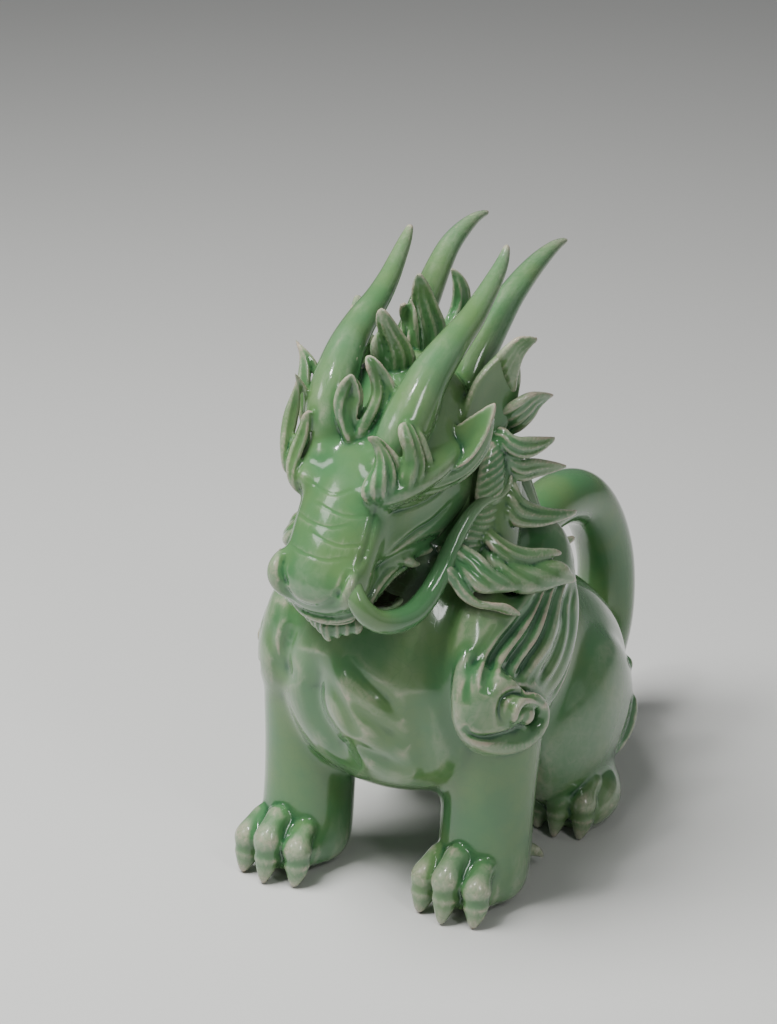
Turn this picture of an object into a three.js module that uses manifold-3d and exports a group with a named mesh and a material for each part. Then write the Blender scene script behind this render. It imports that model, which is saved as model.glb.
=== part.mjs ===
// A seated qilin in glazed stoneware: one fired piece with four horns, flame locks, long whiskers,
// clawed paws and a tail that arches forward on to the back.
// Millimetres, +Z up. The animal faces -Y and its left side is +X.
// The origin is on the floor, under the middle of the figure's bounding box.
import * as THREE from "three";
import Module from "manifold-3d";

const wasm = await Module();
wasm.setup();

// Driving dimensions. The sizes and places below are drawn for a figure DRAWN_HEIGHT tall, so each one is
// a share of the height, and the figure is made FIGURE_HEIGHT tall.
const FIGURE_HEIGHT = 285.5; // floor to the tips of the front horns
const DRAWN_HEIGHT = 285.5;
const STANCE = 43; // middle of the body to the middle of a front paw
const STRIDE = 5; // the left front paw stands this far behind the mean line, the right one as far ahead
const LEAN = 1.5; // the forelegs lean this far to the left
const HIND_STANCE = 45; // middle of the body to the middle of a hind paw
const HIND_REACH = 105; // front claws to hind claws
const HIND_STRIDE = -4; // the left hind paw is set this far ahead of the mean line
const TOE_PITCH = 13; // middle toe to outer toe of a front paw
const HIND_TOE_PITCH = 10.5;
const GROUND_SINK = 1.2; // how much of each sole is ground off flat
const HORN_ROOT = 11.5; // half-thickness of a front horn where it leaves the skull
const REAR_HORN_ROOT = 8.2;
const WHISKER = 5.4; // half-thickness of a whisker at the bend
const TAIL = 14; // half-thickness of the tail at the back of its arch
const LEG = 20.5; // half-thickness of a foreleg above the paw

const unit = FIGURE_HEIGHT / DRAWN_HEIGHT;
const UP = [0, 0, 1];
const FORWARD = [0, -1, 0];
const SIDES = [1, -1]; // left, right

// A value of an evenly spaced list at t from 0 to 1, on a smooth curve through the list.
function valueAt(list, t) {
  const s = t * (list.length - 1);
  const i = Math.min(Math.floor(s), list.length - 2);
  const f = s - i;
  const before = list[Math.max(i - 1, 0)];
  const after = list[Math.min(i + 2, list.length - 1)];
  const [a, b] = [list[i], list[i + 1]];
  const bend = 2 * before - 5 * a + 4 * b - after;
  const twist = 3 * a - before - 3 * b + after;
  return Math.max(0.4, a + 0.5 * f * (b - before + f * (bend + f * twist)));
}

// Cross-sections: the share of the half-width and of the half-thickness at an angle.
const round = (angle) => [Math.cos(angle), Math.sin(angle)];
const leaf = (angle) => [Math.cos(angle), Math.sin(angle) * Math.abs(Math.sin(angle))];
const LOCK_TAPER = [0.78, 1, 0.72, 0.14]; // half-width of a flame lock from root to tip

// A closed solid along a smooth path. A station is [x, y, z, half-width, half-thickness]; the thickness
// lies along face and the width across it. Each end is a low dome.
function sweep(stations, { face = UP, sides = 8, steps = 8, section = round, dome = 0.45 } = {}) {
  const path = new THREE.CatmullRomCurve3(
    stations.map(([x, y, z]) => new THREE.Vector3(x, y, z)),
    false,
    "centripetal",
  );
  const widths = stations.map((s) => s[3]);
  const depths = stations.map((s) => s[4] ?? s[3]);
  const facing = new THREE.Vector3(...face);
  const points = [];
  for (let i = 0; i <= steps; i++) {
    const t = i / steps;
    const centre = path.getPoint(t);
    const along = path.getTangent(t);
    const across = new THREE.Vector3().crossVectors(facing, along).normalize();
    const out = new THREE.Vector3().crossVectors(along, across);
    const width = valueAt(widths, t);
    const depth = valueAt(depths, t);
    const end = dome * Math.min(width, depth);
    if (i === 0) points.push(centre.clone().addScaledVector(along, -end));
    for (let k = 0; k < sides; k++) {
      const [u, v] = section((2 * Math.PI * k) / sides);
      points.push(
        centre.clone().addScaledVector(across, u * width).addScaledVector(out, v * depth),
      );
    }
    if (i === steps) points.push(centre.clone().addScaledVector(along, end));
  }
  const faces = [];
  const last = points.length - 1;
  const ring = (i, k) => 1 + i * sides + (k % sides);
  for (let k = 0; k < sides; k++) {
    faces.push(0, ring(0, k + 1), ring(0, k));
    for (let i = 0; i < steps; i++) {
      faces.push(ring(i, k), ring(i, k + 1), ring(i + 1, k + 1));
      faces.push(ring(i, k), ring(i + 1, k + 1), ring(i + 1, k));
    }
    faces.push(last, ring(steps, k), ring(steps, k + 1));
  }
  return solid(new THREE.BufferGeometry().setFromPoints(points).setIndex(faces));
}

function solid(geometry) {
  const mesh = new wasm.Mesh({
    numProp: 3,
    vertProperties: new Float32Array(geometry.attributes.position.array),
    triVerts: new Uint32Array(geometry.index.array),
  });
  mesh.merge();
  return new wasm.Manifold(mesh);
}

// The same stations on the left (1) or the right (-1) side, moved back and to the left.
const onSide = (side, stations, back = 0, left = 0) =>
  stations.map(([x, y, z, ...size]) => [side * x + left, y + back, z, ...size]);
const faceOn = (side, [x, y, z]) => [side * x, y, z];

// A flame lock through its root, bend and tip, with a ridge along its back.
function lock(side, points, { width = 6, depth = 0.7 * width, face = [0.8, -0.5, 0.2] } = {}) {
  const path = new THREE.CatmullRomCurve3(points.map((p) => new THREE.Vector3(...p)));
  const last = LOCK_TAPER.length - 1;
  const stations = LOCK_TAPER.map((share, i) => [
    ...path.getPoint(i / last).toArray(),
    share * width,
    share * depth,
  ]);
  return sweep(onSide(side, stations), { face: faceOn(side, face), sides: 4, steps: last });
}

function torso() {
  const barrel = [
    [0, 22, 92, 28, 28],
    [0, 34, 92, 44, 44],
    [0, 62, 89, 52, 49],
    [0, 95, 83, 50, 49],
    [0, 128, 71, 47, 49],
    [0, 156, 55, 46, 49],
    [0, 180, 42, 38, 42],
    [0, 198, 34, 22, 28],
    [0, 206, 30, 10, 14],
  ];
  const breast = [
    [0, 64, 50, 22, 11],
    [0, 48, 60, 38, 21],
    [0, 36, 78, 48, 34],
    [0, 34, 100, 52, 39],
    [0, 38, 122, 47, 37],
    [0, 48, 145, 39, 33],
    [0, 56, 166, 35, 30],
  ];
  const seat = [
    [0, 118, 24, 22, 16],
    [0, 136, 18, 34, 18],
    [0, 160, 17, 37, 18],
    [0, 182, 20, 28, 17],
    [0, 196, 26, 14, 12],
  ];
  return [
    sweep(barrel, { sides: 14, steps: 8 }),
    sweep(seat, { sides: 10, steps: 4 }),
    sweep(breast, { face: FORWARD, sides: 14, steps: 7 }),
  ];
}

function neck() {
  const stations = [
    [0, 92, 96, 36, 34],
    [0, 84, 118, 46, 44],
    [0, 76, 141, 47, 45],
    [0, 68, 167, 42, 40],
    [0, 61, 192, 36, 34],
    [0, 56, 216, 26, 26],
    [0, 56, 228, 17, 17],
  ];
  return sweep(stations, { face: FORWARD, sides: 12, steps: 6 });
}

// A toe with a knuckle and a claw that points down. toeAcross is -1, 0 or 1: the toe's place on the paw.
function toe(x, y, toeAcross, pitch = TOE_PITCH) {
  const outer = Math.abs(toeAcross);
  const back = 4 * outer;
  const drop = 1 - 0.18 * outer; // the outer toes are lower
  const reach = toeAcross * pitch;
  const stations = [
    [x + 0.7 * reach, y + 22 + back, 20 * drop, 5.5, 7],
    [x + 0.95 * reach, y + 10 + back, 25 * drop, 7.2, 7.4],
    [x + 1.02 * reach, y + 4.5 + back, 15 * drop, 6.4, 6.8],
    [x + 1.04 * reach, y + 2 + back, 8.5 * drop, 5.2, 5.4],
    [x + 1.04 * reach, y - 1 + back, 0.4, 1.5, 1.5],
  ];
  return sweep(stations, { face: FORWARD, sides: 6, steps: 4 });
}

function foreleg(side) {
  const back = side * STRIDE;
  const leg = [
    [38, 58 - back / 2, 138, 28, 17],
    [42, 49 - back / 2, 118, 34, 20],
    [43, 44 - back / 3, 98, 31, 21.5],
    [43, 41, 80, 24.5, 21.5],
    [STANCE, 39, 60, LEG + 1.5, LEG + 1],
    [STANCE, 37, 40, LEG + 0.5, LEG + 0.5],
    [STANCE, 34, 22, LEG + 0.5, LEG - 0.5],
    [STANCE, 32, 6, LEG + 2.5, LEG + 0.5],
  ];
  const spur = [
    [STANCE + 2, 50, 16, 5],
    [STANCE + 6, 62, 12, 4],
    [STANCE + 8, 70, 6, 1],
  ];
  return [
    sweep(onSide(side, leg, back, LEAN), { face: [side, 0, 0], sides: 10, steps: 7 }),
    sweep(onSide(side, spur, back), { sides: 5, steps: 2 }),
    ...[-1, 0, 1].map((n) => toe(side * STANCE, back, n)),
  ];
}

function hindleg(side) {
  const back = side * HIND_STRIDE;
  const thigh = [
    [32, 86, 46, 18, 12],
    [37, 98, 48, 32, 17],
    [39, 118, 50, 39, 20],
    [38, 138, 50, 39, 20],
    [34, 158, 45, 32, 18],
    [28, 172, 40, 20, 14],
  ];
  const foot = [
    [HIND_STANCE - 8, HIND_REACH + 47, 19, 12, 13],
    [HIND_STANCE - 3, HIND_REACH + 36, 15, 17, 15],
    [HIND_STANCE, HIND_REACH + 24, 14, 20, 15],
    [HIND_STANCE, HIND_REACH + 12, 10, 16, 9],
  ];
  const hockTuft = [
    [40, 140, 72],
    [49, 150, 72],
    [50, 160, 80],
  ];
  return [
    sweep(onSide(side, thigh), { face: [side, 0, 0], sides: 12, steps: 6 }),
    sweep(onSide(side, foot, back), { sides: 8, steps: 4 }),
    ...[-1, 0, 1].map((n) => toe(side * HIND_STANCE, HIND_REACH + back, n, HIND_TOE_PITCH)),
    lock(side, hockTuft, { width: 9, face: [1, 0.2, 0] }),
  ];
}

function tail() {
  const stations = [
    [0, 182, 34, TAIL + 8],
    [0, 210, 34, TAIL + 3],
    [0, 228, 52, TAIL + 1],
    [0, 231, 80, TAIL],
    [0, 221, 106, TAIL - 0.5],
    [0, 204, 124, TAIL - 0.8],
    [0, 184, 131, TAIL - 1.2],
    [0, 160, 130, TAIL - 2],
    [0, 136, 122, TAIL - 4],
  ];
  const tuft = [-1, 1].map((n) => {
    const points = [
      [n * 5, 158, 133],
      [n * 10, 136, 134],
      [n * 17, 114, 142],
    ];
    return lock(1, points, { width: 8, face: UP });
  });
  return [sweep(stations, { face: [1, 0, 0], sides: 8, steps: 12 }), ...tuft];
}

function skull() {
  const bridgeFace = [0, -0.866, 0.5];
  const cranium = [
    [0, 68, 226, 14, 15],
    [0, 58, 222, 26, 25],
    [0, 42, 212, 31, 28],
    [0, 26, 198, 31, 26],
    [0, 12, 184, 25, 21],
    [0, 1, 171, 21, 17],
    [0, -10, 160, 19, 14],
    [0, -18, 151, 15, 11],
    [0, -20, 146, 8, 6],
  ];
  const noseBulb = [
    [-15, -19, 161, 6, 7],
    [-8, -23, 156, 8, 9],
    [8, -23, 156, 8, 9],
    [15, -19, 161, 6, 7],
  ];
  return [
    sweep(cranium, { face: bridgeFace, sides: 12, steps: 8 }),
    sweep(noseBulb, { face: bridgeFace, sides: 8, steps: 3 }),
  ];
}

function faceHalf(side) {
  const outward = [side * 0.8, -0.5, 0.1];
  const nostril = [
    [10, -19, 173, 4, 5],
    [15, -25, 168, 6.5, 6.5],
    [16, -25, 161, 6, 6],
    [12, -22, 156, 4, 4],
  ];
  const cheek = [
    [20, 2, 178, 7, 6],
    [25, 16, 178, 13, 10],
    [27, 32, 180, 16, 12],
    [26, 48, 186, 13, 9],
  ];
  const brow = [
    [9, -7, 200, 4, 4],
    [19, -6, 200, 6.5, 6],
    [27, 6, 203, 6.5, 6],
    [31, 24, 207, 6, 5],
    [32, 40, 212, 4, 4],
  ];
  return [
    sweep(onSide(side, nostril), { face: outward, sides: 6, steps: 4 }),
    sweep(onSide(side, cheek), { face: outward, sides: 8, steps: 4 }),
    sweep(onSide(side, brow), { face: [0, -0.8, 0.6], sides: 6, steps: 5 }),
  ];
}

function jaw() {
  const stations = [
    [0, 44, 160, 25, 17],
    [0, 26, 151, 23, 11],
    [0, 8, 146, 18, 7.5],
    [0, -6, 144, 13, 6],
    [0, -14, 144, 7, 4],
  ];
  const beard = [-1, 0, 1].map((n) => {
    const spread = Math.abs(n);
    const points = [
      [n * 6, -4, 146],
      [n * 8, -10 + 2 * spread, 140],
      [n * 9, -12 + 4 * spread, 131 + 5 * spread],
    ];
    return lock(1, points, { width: 5, face: FORWARD });
  });
  return [sweep(stations, { sides: 10, steps: 5 }), ...beard];
}

// The open mouth is cut in from each side, between the lip and the lower jaw.
function mouthGap(side) {
  const stations = [
    [23, -12, 154, 17, 1.5],
    [23, -3, 157, 18, 4.5],
    [24, 8, 160, 18, 5.6],
    [24, 20, 162, 18, 4.4],
    [24, 27, 164, 17, 1.5],
  ];
  return sweep(onSide(side, stations), { sides: 6, steps: 4 });
}

function fang(side) {
  const stations = [
    [22, 4, 170, 4, 4],
    [24, 10, 165, 3, 3],
    [25, 14, 160, 1.2, 1.2],
  ];
  return sweep(onSide(side, stations), { face: [side, 0, 0], sides: 4, steps: 2 });
}

function horns(side) {
  const front = [
    [19, 20, 221, HORN_ROOT],
    [21.5, 37, 235, 0.86 * HORN_ROOT],
    [22.6, 53, 248, 0.64 * HORN_ROOT],
    [23.6, 68, 261, 0.5 * HORN_ROOT],
    [24.1, 80, 274, 0.36 * HORN_ROOT],
    [24.3, 88.5, 285.6, 0.16 * HORN_ROOT],
  ];
  const rear = [
    [19, 62, 222, REAR_HORN_ROOT],
    [20, 79, 236, 0.96 * REAR_HORN_ROOT],
    [20.5, 94, 250, 0.88 * REAR_HORN_ROOT],
    [20.5, 107, 262, 0.76 * REAR_HORN_ROOT],
    [20.3, 122, 270, 0.6 * REAR_HORN_ROOT],
    [20.1, 138, 274, 0.4 * REAR_HORN_ROOT],
    [20, 148.5, 274.5, 0.2 * REAR_HORN_ROOT],
  ];
  return [front, rear].map((stations) =>
    sweep(onSide(side, stations), { face: [side, 0, 0], sides: 7, steps: 6 }),
  );
}

function ear(side) {
  const stations = [
    [30, 54, 196, 6, 5],
    [33, 57, 208, 9, 5.5],
    [36, 61, 222, 8.5, 5],
    [38, 66, 235, 5, 3.6],
    [38.5, 69, 242, 1.5, 1.5],
  ];
  const face = faceOn(side, [0.6, -0.75, 0.2]);
  return sweep(onSide(side, stations), { face, sides: 6, steps: 4, section: leaf });
}

function browLocks(side) {
  const forward = [0.3, -0.85, 0.4];
  const inner = [
    [22, 0, 192],
    [21, -9, 204],
    [20, -7, 215],
    [14.8, -8.5, 229],
  ];
  const outer = [
    [28, 6, 195],
    [28, 0, 205],
    [27, 6, 216],
    [22, 8, 229.5],
  ];
  const long = [
    [24, 8, 202],
    [32, 22, 203],
    [40, 32, 213],
    [45, 43.5, 231],
  ];
  return [
    lock(side, inner, { width: 8, face: forward }),
    lock(side, outer, { width: 7.5, face: forward }),
    lock(side, long, { width: 8.5, face: [0.6, -0.6, 0.4] }),
  ];
}

// The right whisker starts closer to the lip.
function whisker(side) {
  const tuck = (inward) => (side < 0 ? inward : 0);
  const stations = [
    [15 - tuck(3), -24, 168, 0.7 * WHISKER],
    [20 - tuck(6), -29 + tuck(3), 164, 0.92 * WHISKER],
    [24 - tuck(9), -27 + tuck(5), 154, WHISKER],
    [28 - tuck(7), -16 + tuck(4), 145.5, WHISKER],
    [30.5 - tuck(2), -4, 146.5, WHISKER],
    [33, 9, 156, 0.96 * WHISKER],
    [35, 19, 168, 0.9 * WHISKER],
    [36, 27, 179, 0.76 * WHISKER],
    [37, 37, 186, 0.66 * WHISKER],
    [38.5, 50, 185, 0.6 * WHISKER],
    [39.5, 60, 184, 0.5 * WHISKER],
    [40, 65, 190, 0.22 * WHISKER],
  ];
  return sweep(onSide(side, stations), { face: [side, 0, 0], sides: 5, steps: 13 });
}

// The ribbed band along the jaw that the cheek locks spring from.
function cheekBand(side) {
  const stations = [
    [34, 68, 208, 3, 4],
    [36, 62, 201, 6, 5],
    [38, 57, 191, 7, 5.5],
    [39, 48, 180, 7, 5.5],
    [38, 40, 171, 6.5, 5.5],
    [35, 33, 164, 3.5, 4],
  ];
  return sweep(onSide(side, stations), { face: faceOn(side, [1, -0.3, 0]), sides: 4, steps: 4 });
}

// Flame locks that fan back from the band, from behind the ear down to the throat.
function cheekLocks(side) {
  const drawn = [
    { root: [30, 72, 226], bend: [40, 69, 241], tip: [48, 77, 250], width: 6 },
    { root: [33, 68, 211], bend: [43, 74, 215], tip: [50, 86, 222], width: 8 },
    { root: [35, 64, 204], bend: [45, 71, 203], tip: [52, 86, 203], width: 6 },
    { root: [36, 66, 194], bend: [45, 75, 190], tip: [53, 93, 189], width: 8 },
    { root: [37, 62, 186], bend: [46, 67, 172], tip: [56, 99, 164], width: 8.5 },
    { root: [37, 53, 176], bend: [47, 57, 160], tip: [57, 83, 151], width: 8 },
    { root: [37, 45, 170], bend: [48, 52, 154], tip: [58, 96, 134], width: 7.5 },
    { root: [36, 34, 167], bend: [46, 34, 154], tip: [54, 51, 147], width: 7 },
    { root: [34, 28, 162], bend: [44, 31, 147], tip: [54, 55, 132], width: 6.5 },
  ];
  return drawn.map(({ root, bend, tip, width }) => lock(side, [root, bend, tip], { width }));
}

function forelock() {
  const left = [
    [0, 9, 206],
    [6, 5, 223],
    [7, 11, 236],
    [0.5, 15.5, 253],
  ];
  const right = [
    [-2, 8, 208],
    [-6, -2, 224],
    [-5, 1, 236],
    [-2, 2.5, 248],
  ];
  const face = [0, -0.9, 0.45];
  return [lock(1, left, { width: 8, face }), lock(1, right, { width: 6.5, face })];
}

// Upright locks along the middle of the head.
function crest() {
  const drawn = [
    { root: [-4, 32, 230], bend: [-5, 26, 245], tip: [-2, 24, 258], width: 5.5 },
    { root: [4, 38, 230], bend: [6, 29, 250], tip: [1, 27, 269], width: 8 },
    { root: [-4, 48, 232], bend: [-6, 42, 250], tip: [-2, 44, 266], width: 6 },
    { root: [3, 58, 230], bend: [5, 49, 255], tip: [1, 55, 277], width: 9 },
    { root: [3, 68, 226], bend: [5, 73, 250], tip: [2, 86, 271], width: 8.5 },
  ];
  return drawn.map(({ root, bend, tip, width }, n) =>
    lock(1, [root, bend, tip], { width, face: [0.35 * (n % 2 ? 1 : -1), -1, 0.2] }),
  );
}

// Long locks that hang down the nape and flick up at their tips.
function napeLocks() {
  const spread = [-2, -1, 0, 1, 2];
  return spread.map((n) => {
    const out = Math.abs(n);
    const points = [
      [7 * n, 78 - 3 * out, 228 - 5 * out],
      [11 * n, 101 - 5 * out, 200 - 6 * out],
      [16 * n, 118 - 8 * out, 164 - 5 * out],
      [19 * n, 128 - 9 * out, 138 + 2 * out],
      [21 * n, 142 - 10 * out, 134 + 4 * out],
    ];
    return lock(1, points, { width: 11, depth: 7, face: [0.45 * n, 1, 0.3] });
  });
}

// The hair that falls from the neck over the shoulder and ends in a scroll.
function shoulderMane(side) {
  const back = side * STRIDE * 0.5;
  const outward = [side, 0, 0];
  const mass = [
    [34, 86, 164, 12, 7],
    [46, 84, 147, 20, 8],
    [54, 72, 128, 28, 9],
    [55, 57, 111, 31, 10],
    [53, 46, 96, 26, 10],
    [50, 40, 86, 15, 8],
  ];
  const rim = [
    [40, 26, 143, 3.6],
    [44.5, 13, 131, 4.6],
    [45.5, 5, 117, 5],
    [45.5, 7, 101, 5.2],
    [49.5, 15, 87, 5.6],
    [57.5, 24, 79, 5.6],
    [63.5, 34, 79, 5],
    [66.5, 43, 86, 4.6],
    [66, 42, 96, 4.2],
    [64.5, 34, 100, 3.8],
    [64.5, 29, 95, 3.2],
  ];
  const strands = [0, 1, 2].map((n) => [
    [46 - n, 90 - 15 * n, 150 + 2 * n, 5],
    [60 - 1.5 * n, 84 - 17 * n, 129 + 2 * n, 6],
    [65 - 2 * n, 70 - 17 * n, 109 + 3 * n, 5.6],
    [64 - 3 * n, 54 - 14 * n, 98 + 3 * n, 3.4],
  ]);
  return [
    sweep(onSide(side, mass, back, LEAN), { face: outward, sides: 8, steps: 5 }),
    sweep(onSide(side, rim, back, LEAN), { face: outward, sides: 5, steps: 12 }),
    ...strands.map((s) => sweep(onSide(side, s, back, LEAN), { face: outward, sides: 4, steps: 3 })),
  ];
}

const joined = (pieces) => pieces.reduce((whole, piece) => whole.add(piece));

function head() {
  const flesh = [...skull(), ...jaw(), ...SIDES.flatMap(faceHalf)];
  const hollowed = joined(flesh).subtract(joined(SIDES.map(mouthGap)));
  const hair = [...forelock(), ...crest()];
  const paired = SIDES.flatMap((side) => [
    fang(side),
    ...horns(side),
    ear(side),
    ...browLocks(side),
    whisker(side),
    cheekBand(side),
    ...cheekLocks(side),
  ]);
  return joined([hollowed, ...hair, ...paired]);
}

function body() {
  return joined([
    ...torso(),
    neck(),
    ...tail(),
    ...napeLocks(),
    ...SIDES.flatMap((side) => [
      ...foreleg(side),
      ...hindleg(side),
      ...shoulderMane(side),
    ]),
  ]);
}

// The soles are ground flat on the floor.
function floorBlock() {
  const size = 2 * DRAWN_HEIGHT;
  const block = new THREE.BoxGeometry(size, size, size);
  block.translate(0, 0, GROUND_SINK - size / 2);
  return block;
}

function weld(geometry) {
  const corners = geometry.attributes.position;
  const seen = new Map();
  const points = [];
  const index = Array.from(geometry.index.array, (i) => {
    const p = new THREE.Vector3().fromBufferAttribute(corners, i);
    const key = p.toArray().map((c) => c.toFixed(3)).join();
    if (!seen.has(key)) {
      seen.set(key, points.length);
      points.push(p);
    }
    return seen.get(key);
  });
  return new THREE.BufferGeometry().setFromPoints(points).setIndex(index);
}

function figureGeometry() {
  const whole = joined([body(), head()]).subtract(solid(weld(floorBlock())));
  const mesh = whole.getMesh();
  const geometry = new THREE.BufferGeometry()
    .setAttribute("position", new THREE.BufferAttribute(mesh.vertProperties, mesh.numProp))
    .setIndex(new THREE.BufferAttribute(mesh.triVerts, 1));
  geometry.scale(unit, unit, unit);
  geometry.computeBoundingBox();
  const middle = geometry.boundingBox.getCenter(new THREE.Vector3());
  geometry.translate(-middle.x, -middle.y, -geometry.boundingBox.min.z);
  geometry.computeVertexNormals();
  return geometry;
}

const celadon = new THREE.MeshStandardMaterial({ color: 0x7fae8c, roughness: 0.15, metalness: 0 });
const figure = new THREE.Mesh(figureGeometry(), celadon);
figure.name = "qilin_figure";

const group = new THREE.Group();
group.add(figure);

export default group;
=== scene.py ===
"""A seated qilin in crackled celadon, carved as a potter would: clay forms pressed together, fused and incised."""
import math

import bmesh
import bpy
import numpy as np
from bpy.props import FloatProperty, FloatVectorProperty, IntProperty, PointerProperty
from mathutils import Matrix, Vector


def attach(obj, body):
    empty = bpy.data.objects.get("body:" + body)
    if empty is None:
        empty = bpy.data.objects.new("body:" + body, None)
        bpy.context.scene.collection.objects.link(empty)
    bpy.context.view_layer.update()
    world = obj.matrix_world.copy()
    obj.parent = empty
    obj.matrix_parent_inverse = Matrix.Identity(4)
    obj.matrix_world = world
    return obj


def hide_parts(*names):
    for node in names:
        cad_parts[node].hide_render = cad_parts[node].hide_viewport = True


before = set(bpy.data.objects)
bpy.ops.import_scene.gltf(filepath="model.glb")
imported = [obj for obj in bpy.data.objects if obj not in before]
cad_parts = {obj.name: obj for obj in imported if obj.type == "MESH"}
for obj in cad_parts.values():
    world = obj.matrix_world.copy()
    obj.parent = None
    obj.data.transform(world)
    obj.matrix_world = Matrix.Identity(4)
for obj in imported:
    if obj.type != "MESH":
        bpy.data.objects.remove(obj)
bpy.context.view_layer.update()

bl_info = {
    "name": "Celadon Qilin",
    "version": (1, 0, 0),
    "blender": (4, 5, 0),
    "location": "3D View > Sidebar > Qilin",
    "description": "Models a glazed stoneware qilin piece by piece on its fixed frame",
    "category": "Add Mesh",
}

NODE = "qilin_figure"
MM = 0.001  # the figure is drawn in millimetres, and the frame is in metres
FLOOR = 1.2  # the height of the floor in the drawing
ORIGIN = Vector((-1.5, -106.517, -FLOOR))  # the drawing's origin in the frame, in mm, between the front claws
UP = (0, 0, 1)
FORWARD = (0, -1, 0)
SEEN = (0.49, -0.79, 0.375)  # towards the viewpoint of the photo
LEFT, RIGHT = 1, -1
SIDES = (LEFT, RIGHT)
STRIDE = 5  # the left forepaw stands this far behind the mean line, the right one as far ahead
HIND_STRIDE = 4  # the left hind paw stands this far ahead, the right one as far behind
LEAN = 1.5  # the forelegs lean this far to the left
THINNEST = 0.25  # the least half-width of a rod before its ends close
CORE_GRAIN = 1.3  # the core of the body is fused this many times as coarsely as its skin


# Curves and frames

def flow(rows, share):
    """Rows of numbers on a smooth curve through the given rows, at shares from 0 to 1 of the way.

    The first three numbers of a row are its place, and their distances pace the curve.
    """
    rows = np.asarray(rows, float)
    last = len(rows) - 1
    place = np.clip(np.asarray(share, float) * last, 0, last - 1e-9)
    index = place.astype(int)
    f = (place - index)[:, None]
    ends = np.vstack([2 * rows[0] - rows[1], rows, 2 * rows[-1] - rows[-2]])
    a, b, c, d = (ends[index + k] for k in range(4))
    gaps = [np.linalg.norm(q[:, :3] - p[:, :3], axis=1) ** 0.5 for p, q in ((a, b), (b, c), (c, d))]
    g, h, k = (gap[:, None] + 1e-6 for gap in gaps)
    leave = h * ((b - a) / g - (c - a) / (g + h) + (c - b) / h)
    arrive = h * ((c - b) / h - (d - b) / (h + k) + (d - c) / k)
    return (
        (1 + 2 * f) * (1 - f) ** 2 * b
        + f * (1 - f) ** 2 * leave
        + f * f * (3 - 2 * f) * c
        + f * f * (f - 1) * arrive
    )


def in_mm(length):
    """A length of the settings, which is in metres, in the drawing's millimetres."""
    return round(length / MM, 4)


def unit(vectors):
    """The vectors, made one long."""
    return vectors / np.maximum(np.linalg.norm(vectors, axis=1, keepdims=True), 1e-9)


def on_side(side, stations, back=0, left=0):
    """The same stations on the left (1) or right (-1) side, moved back and to the left."""
    return [(side * x + left, y + back, z, *size) for x, y, z, *size in stations]


def face_on(side, face):
    """The same direction on the left (1) or right (-1) side."""
    return (side * face[0], face[1], face[2])


# Forms in wet clay

def bend(bm, stations, face, strands, groove, ends, square, dish, ribs, slant):
    """Bends a straight rod along the stations and gives it their widths and depths.

    Strands are grooves along it and ribs are grooves across it. A dish hollows its face.
    """
    rod_points = np.array([v.co[:] for v in bm.verts])
    share = (rod_points[:, 2] + 1) / 2
    angle = np.arctan2(rod_points[:, 1], rod_points[:, 0])
    rows = [tuple(s) if len(s) == 5 else (*s, s[3]) for s in stations]
    row = flow(rows, share)
    step = 0.004  # how far to each side the direction is measured, as a share of the way
    along = unit(flow(rows, np.clip(share + step, 0, 1))[:, :3] - flow(rows, np.clip(share - step, 0, 1))[:, :3])
    across = unit(np.cross(face, along))
    out = np.cross(along, across)
    u, v = np.cos(angle), np.sin(angle)
    u = np.sign(u) * np.abs(u) ** square
    v = np.sign(v) * np.abs(v) ** square
    if strands:
        ridge = np.abs(np.sin(np.pi * strands * (u * 0.5 + 0.5)))
        v = v * (1 - groove * (1 - ridge) ** 1.6)
    if ribs:
        ridge = np.abs(np.sin(np.pi * ribs * (share + slant * u)))
        v = v * (1 - groove * (1 - ridge) ** 1.4)
    start, end = ends
    close = np.sqrt(1 - np.clip(1 - share / start, 0, 1) ** 2)
    close = close * np.sqrt(1 - np.clip(1 - (1 - share) / end, 0, 1) ** 2)
    close = np.maximum(close, 0.02)
    width = np.maximum(row[:, 3], THINNEST) * close
    depth = np.maximum(row[:, 4], THINNEST) * close
    lift = v * depth - dish * width * (1 - u * u)
    placed = row[:, :3] + across * (u * width)[:, None] + out * lift[:, None]
    for vert, point in zip(bm.verts, placed):
        vert.co = point


def rod(clay, stations, face=UP, *, sides, rings, strands=0, groove=0.0, ends=(0.12, 0.12), square=1.0, dish=0.0,
        ribs=0, slant=0.0):
    """Presses a bent rod of clay on. A station is (x, y, z, half-width, half-thickness)."""
    bm = bmesh.new()
    bmesh.ops.create_cone(bm, cap_ends=True, segments=sides, radius1=1, radius2=1, depth=2)
    long_edges = [e for e in bm.edges if abs(e.verts[0].co.z - e.verts[1].co.z) > 1]
    bmesh.ops.subdivide_edges(bm, edges=long_edges, cuts=rings - 1, use_grid_fill=True)
    bend(bm, stations, face, strands, groove, ends, square, dish, ribs, slant)
    bmesh.ops.recalc_face_normals(bm, faces=bm.faces)
    scrap = bpy.data.meshes.new("rod")
    bm.to_mesh(scrap)
    bm.free()
    clay.from_mesh(scrap)
    bpy.data.meshes.remove(scrap)


def ball(clay, centre, radii, tilt=0.0):
    """Presses a ball of clay on, tilted about the x axis, in degrees."""
    place = Matrix.Translation(centre) @ Matrix.Rotation(math.radians(tilt), 4, "X") @ Matrix.Diagonal((*radii, 1))
    bmesh.ops.create_icosphere(clay, subdivisions=4, radius=1, matrix=place)


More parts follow.
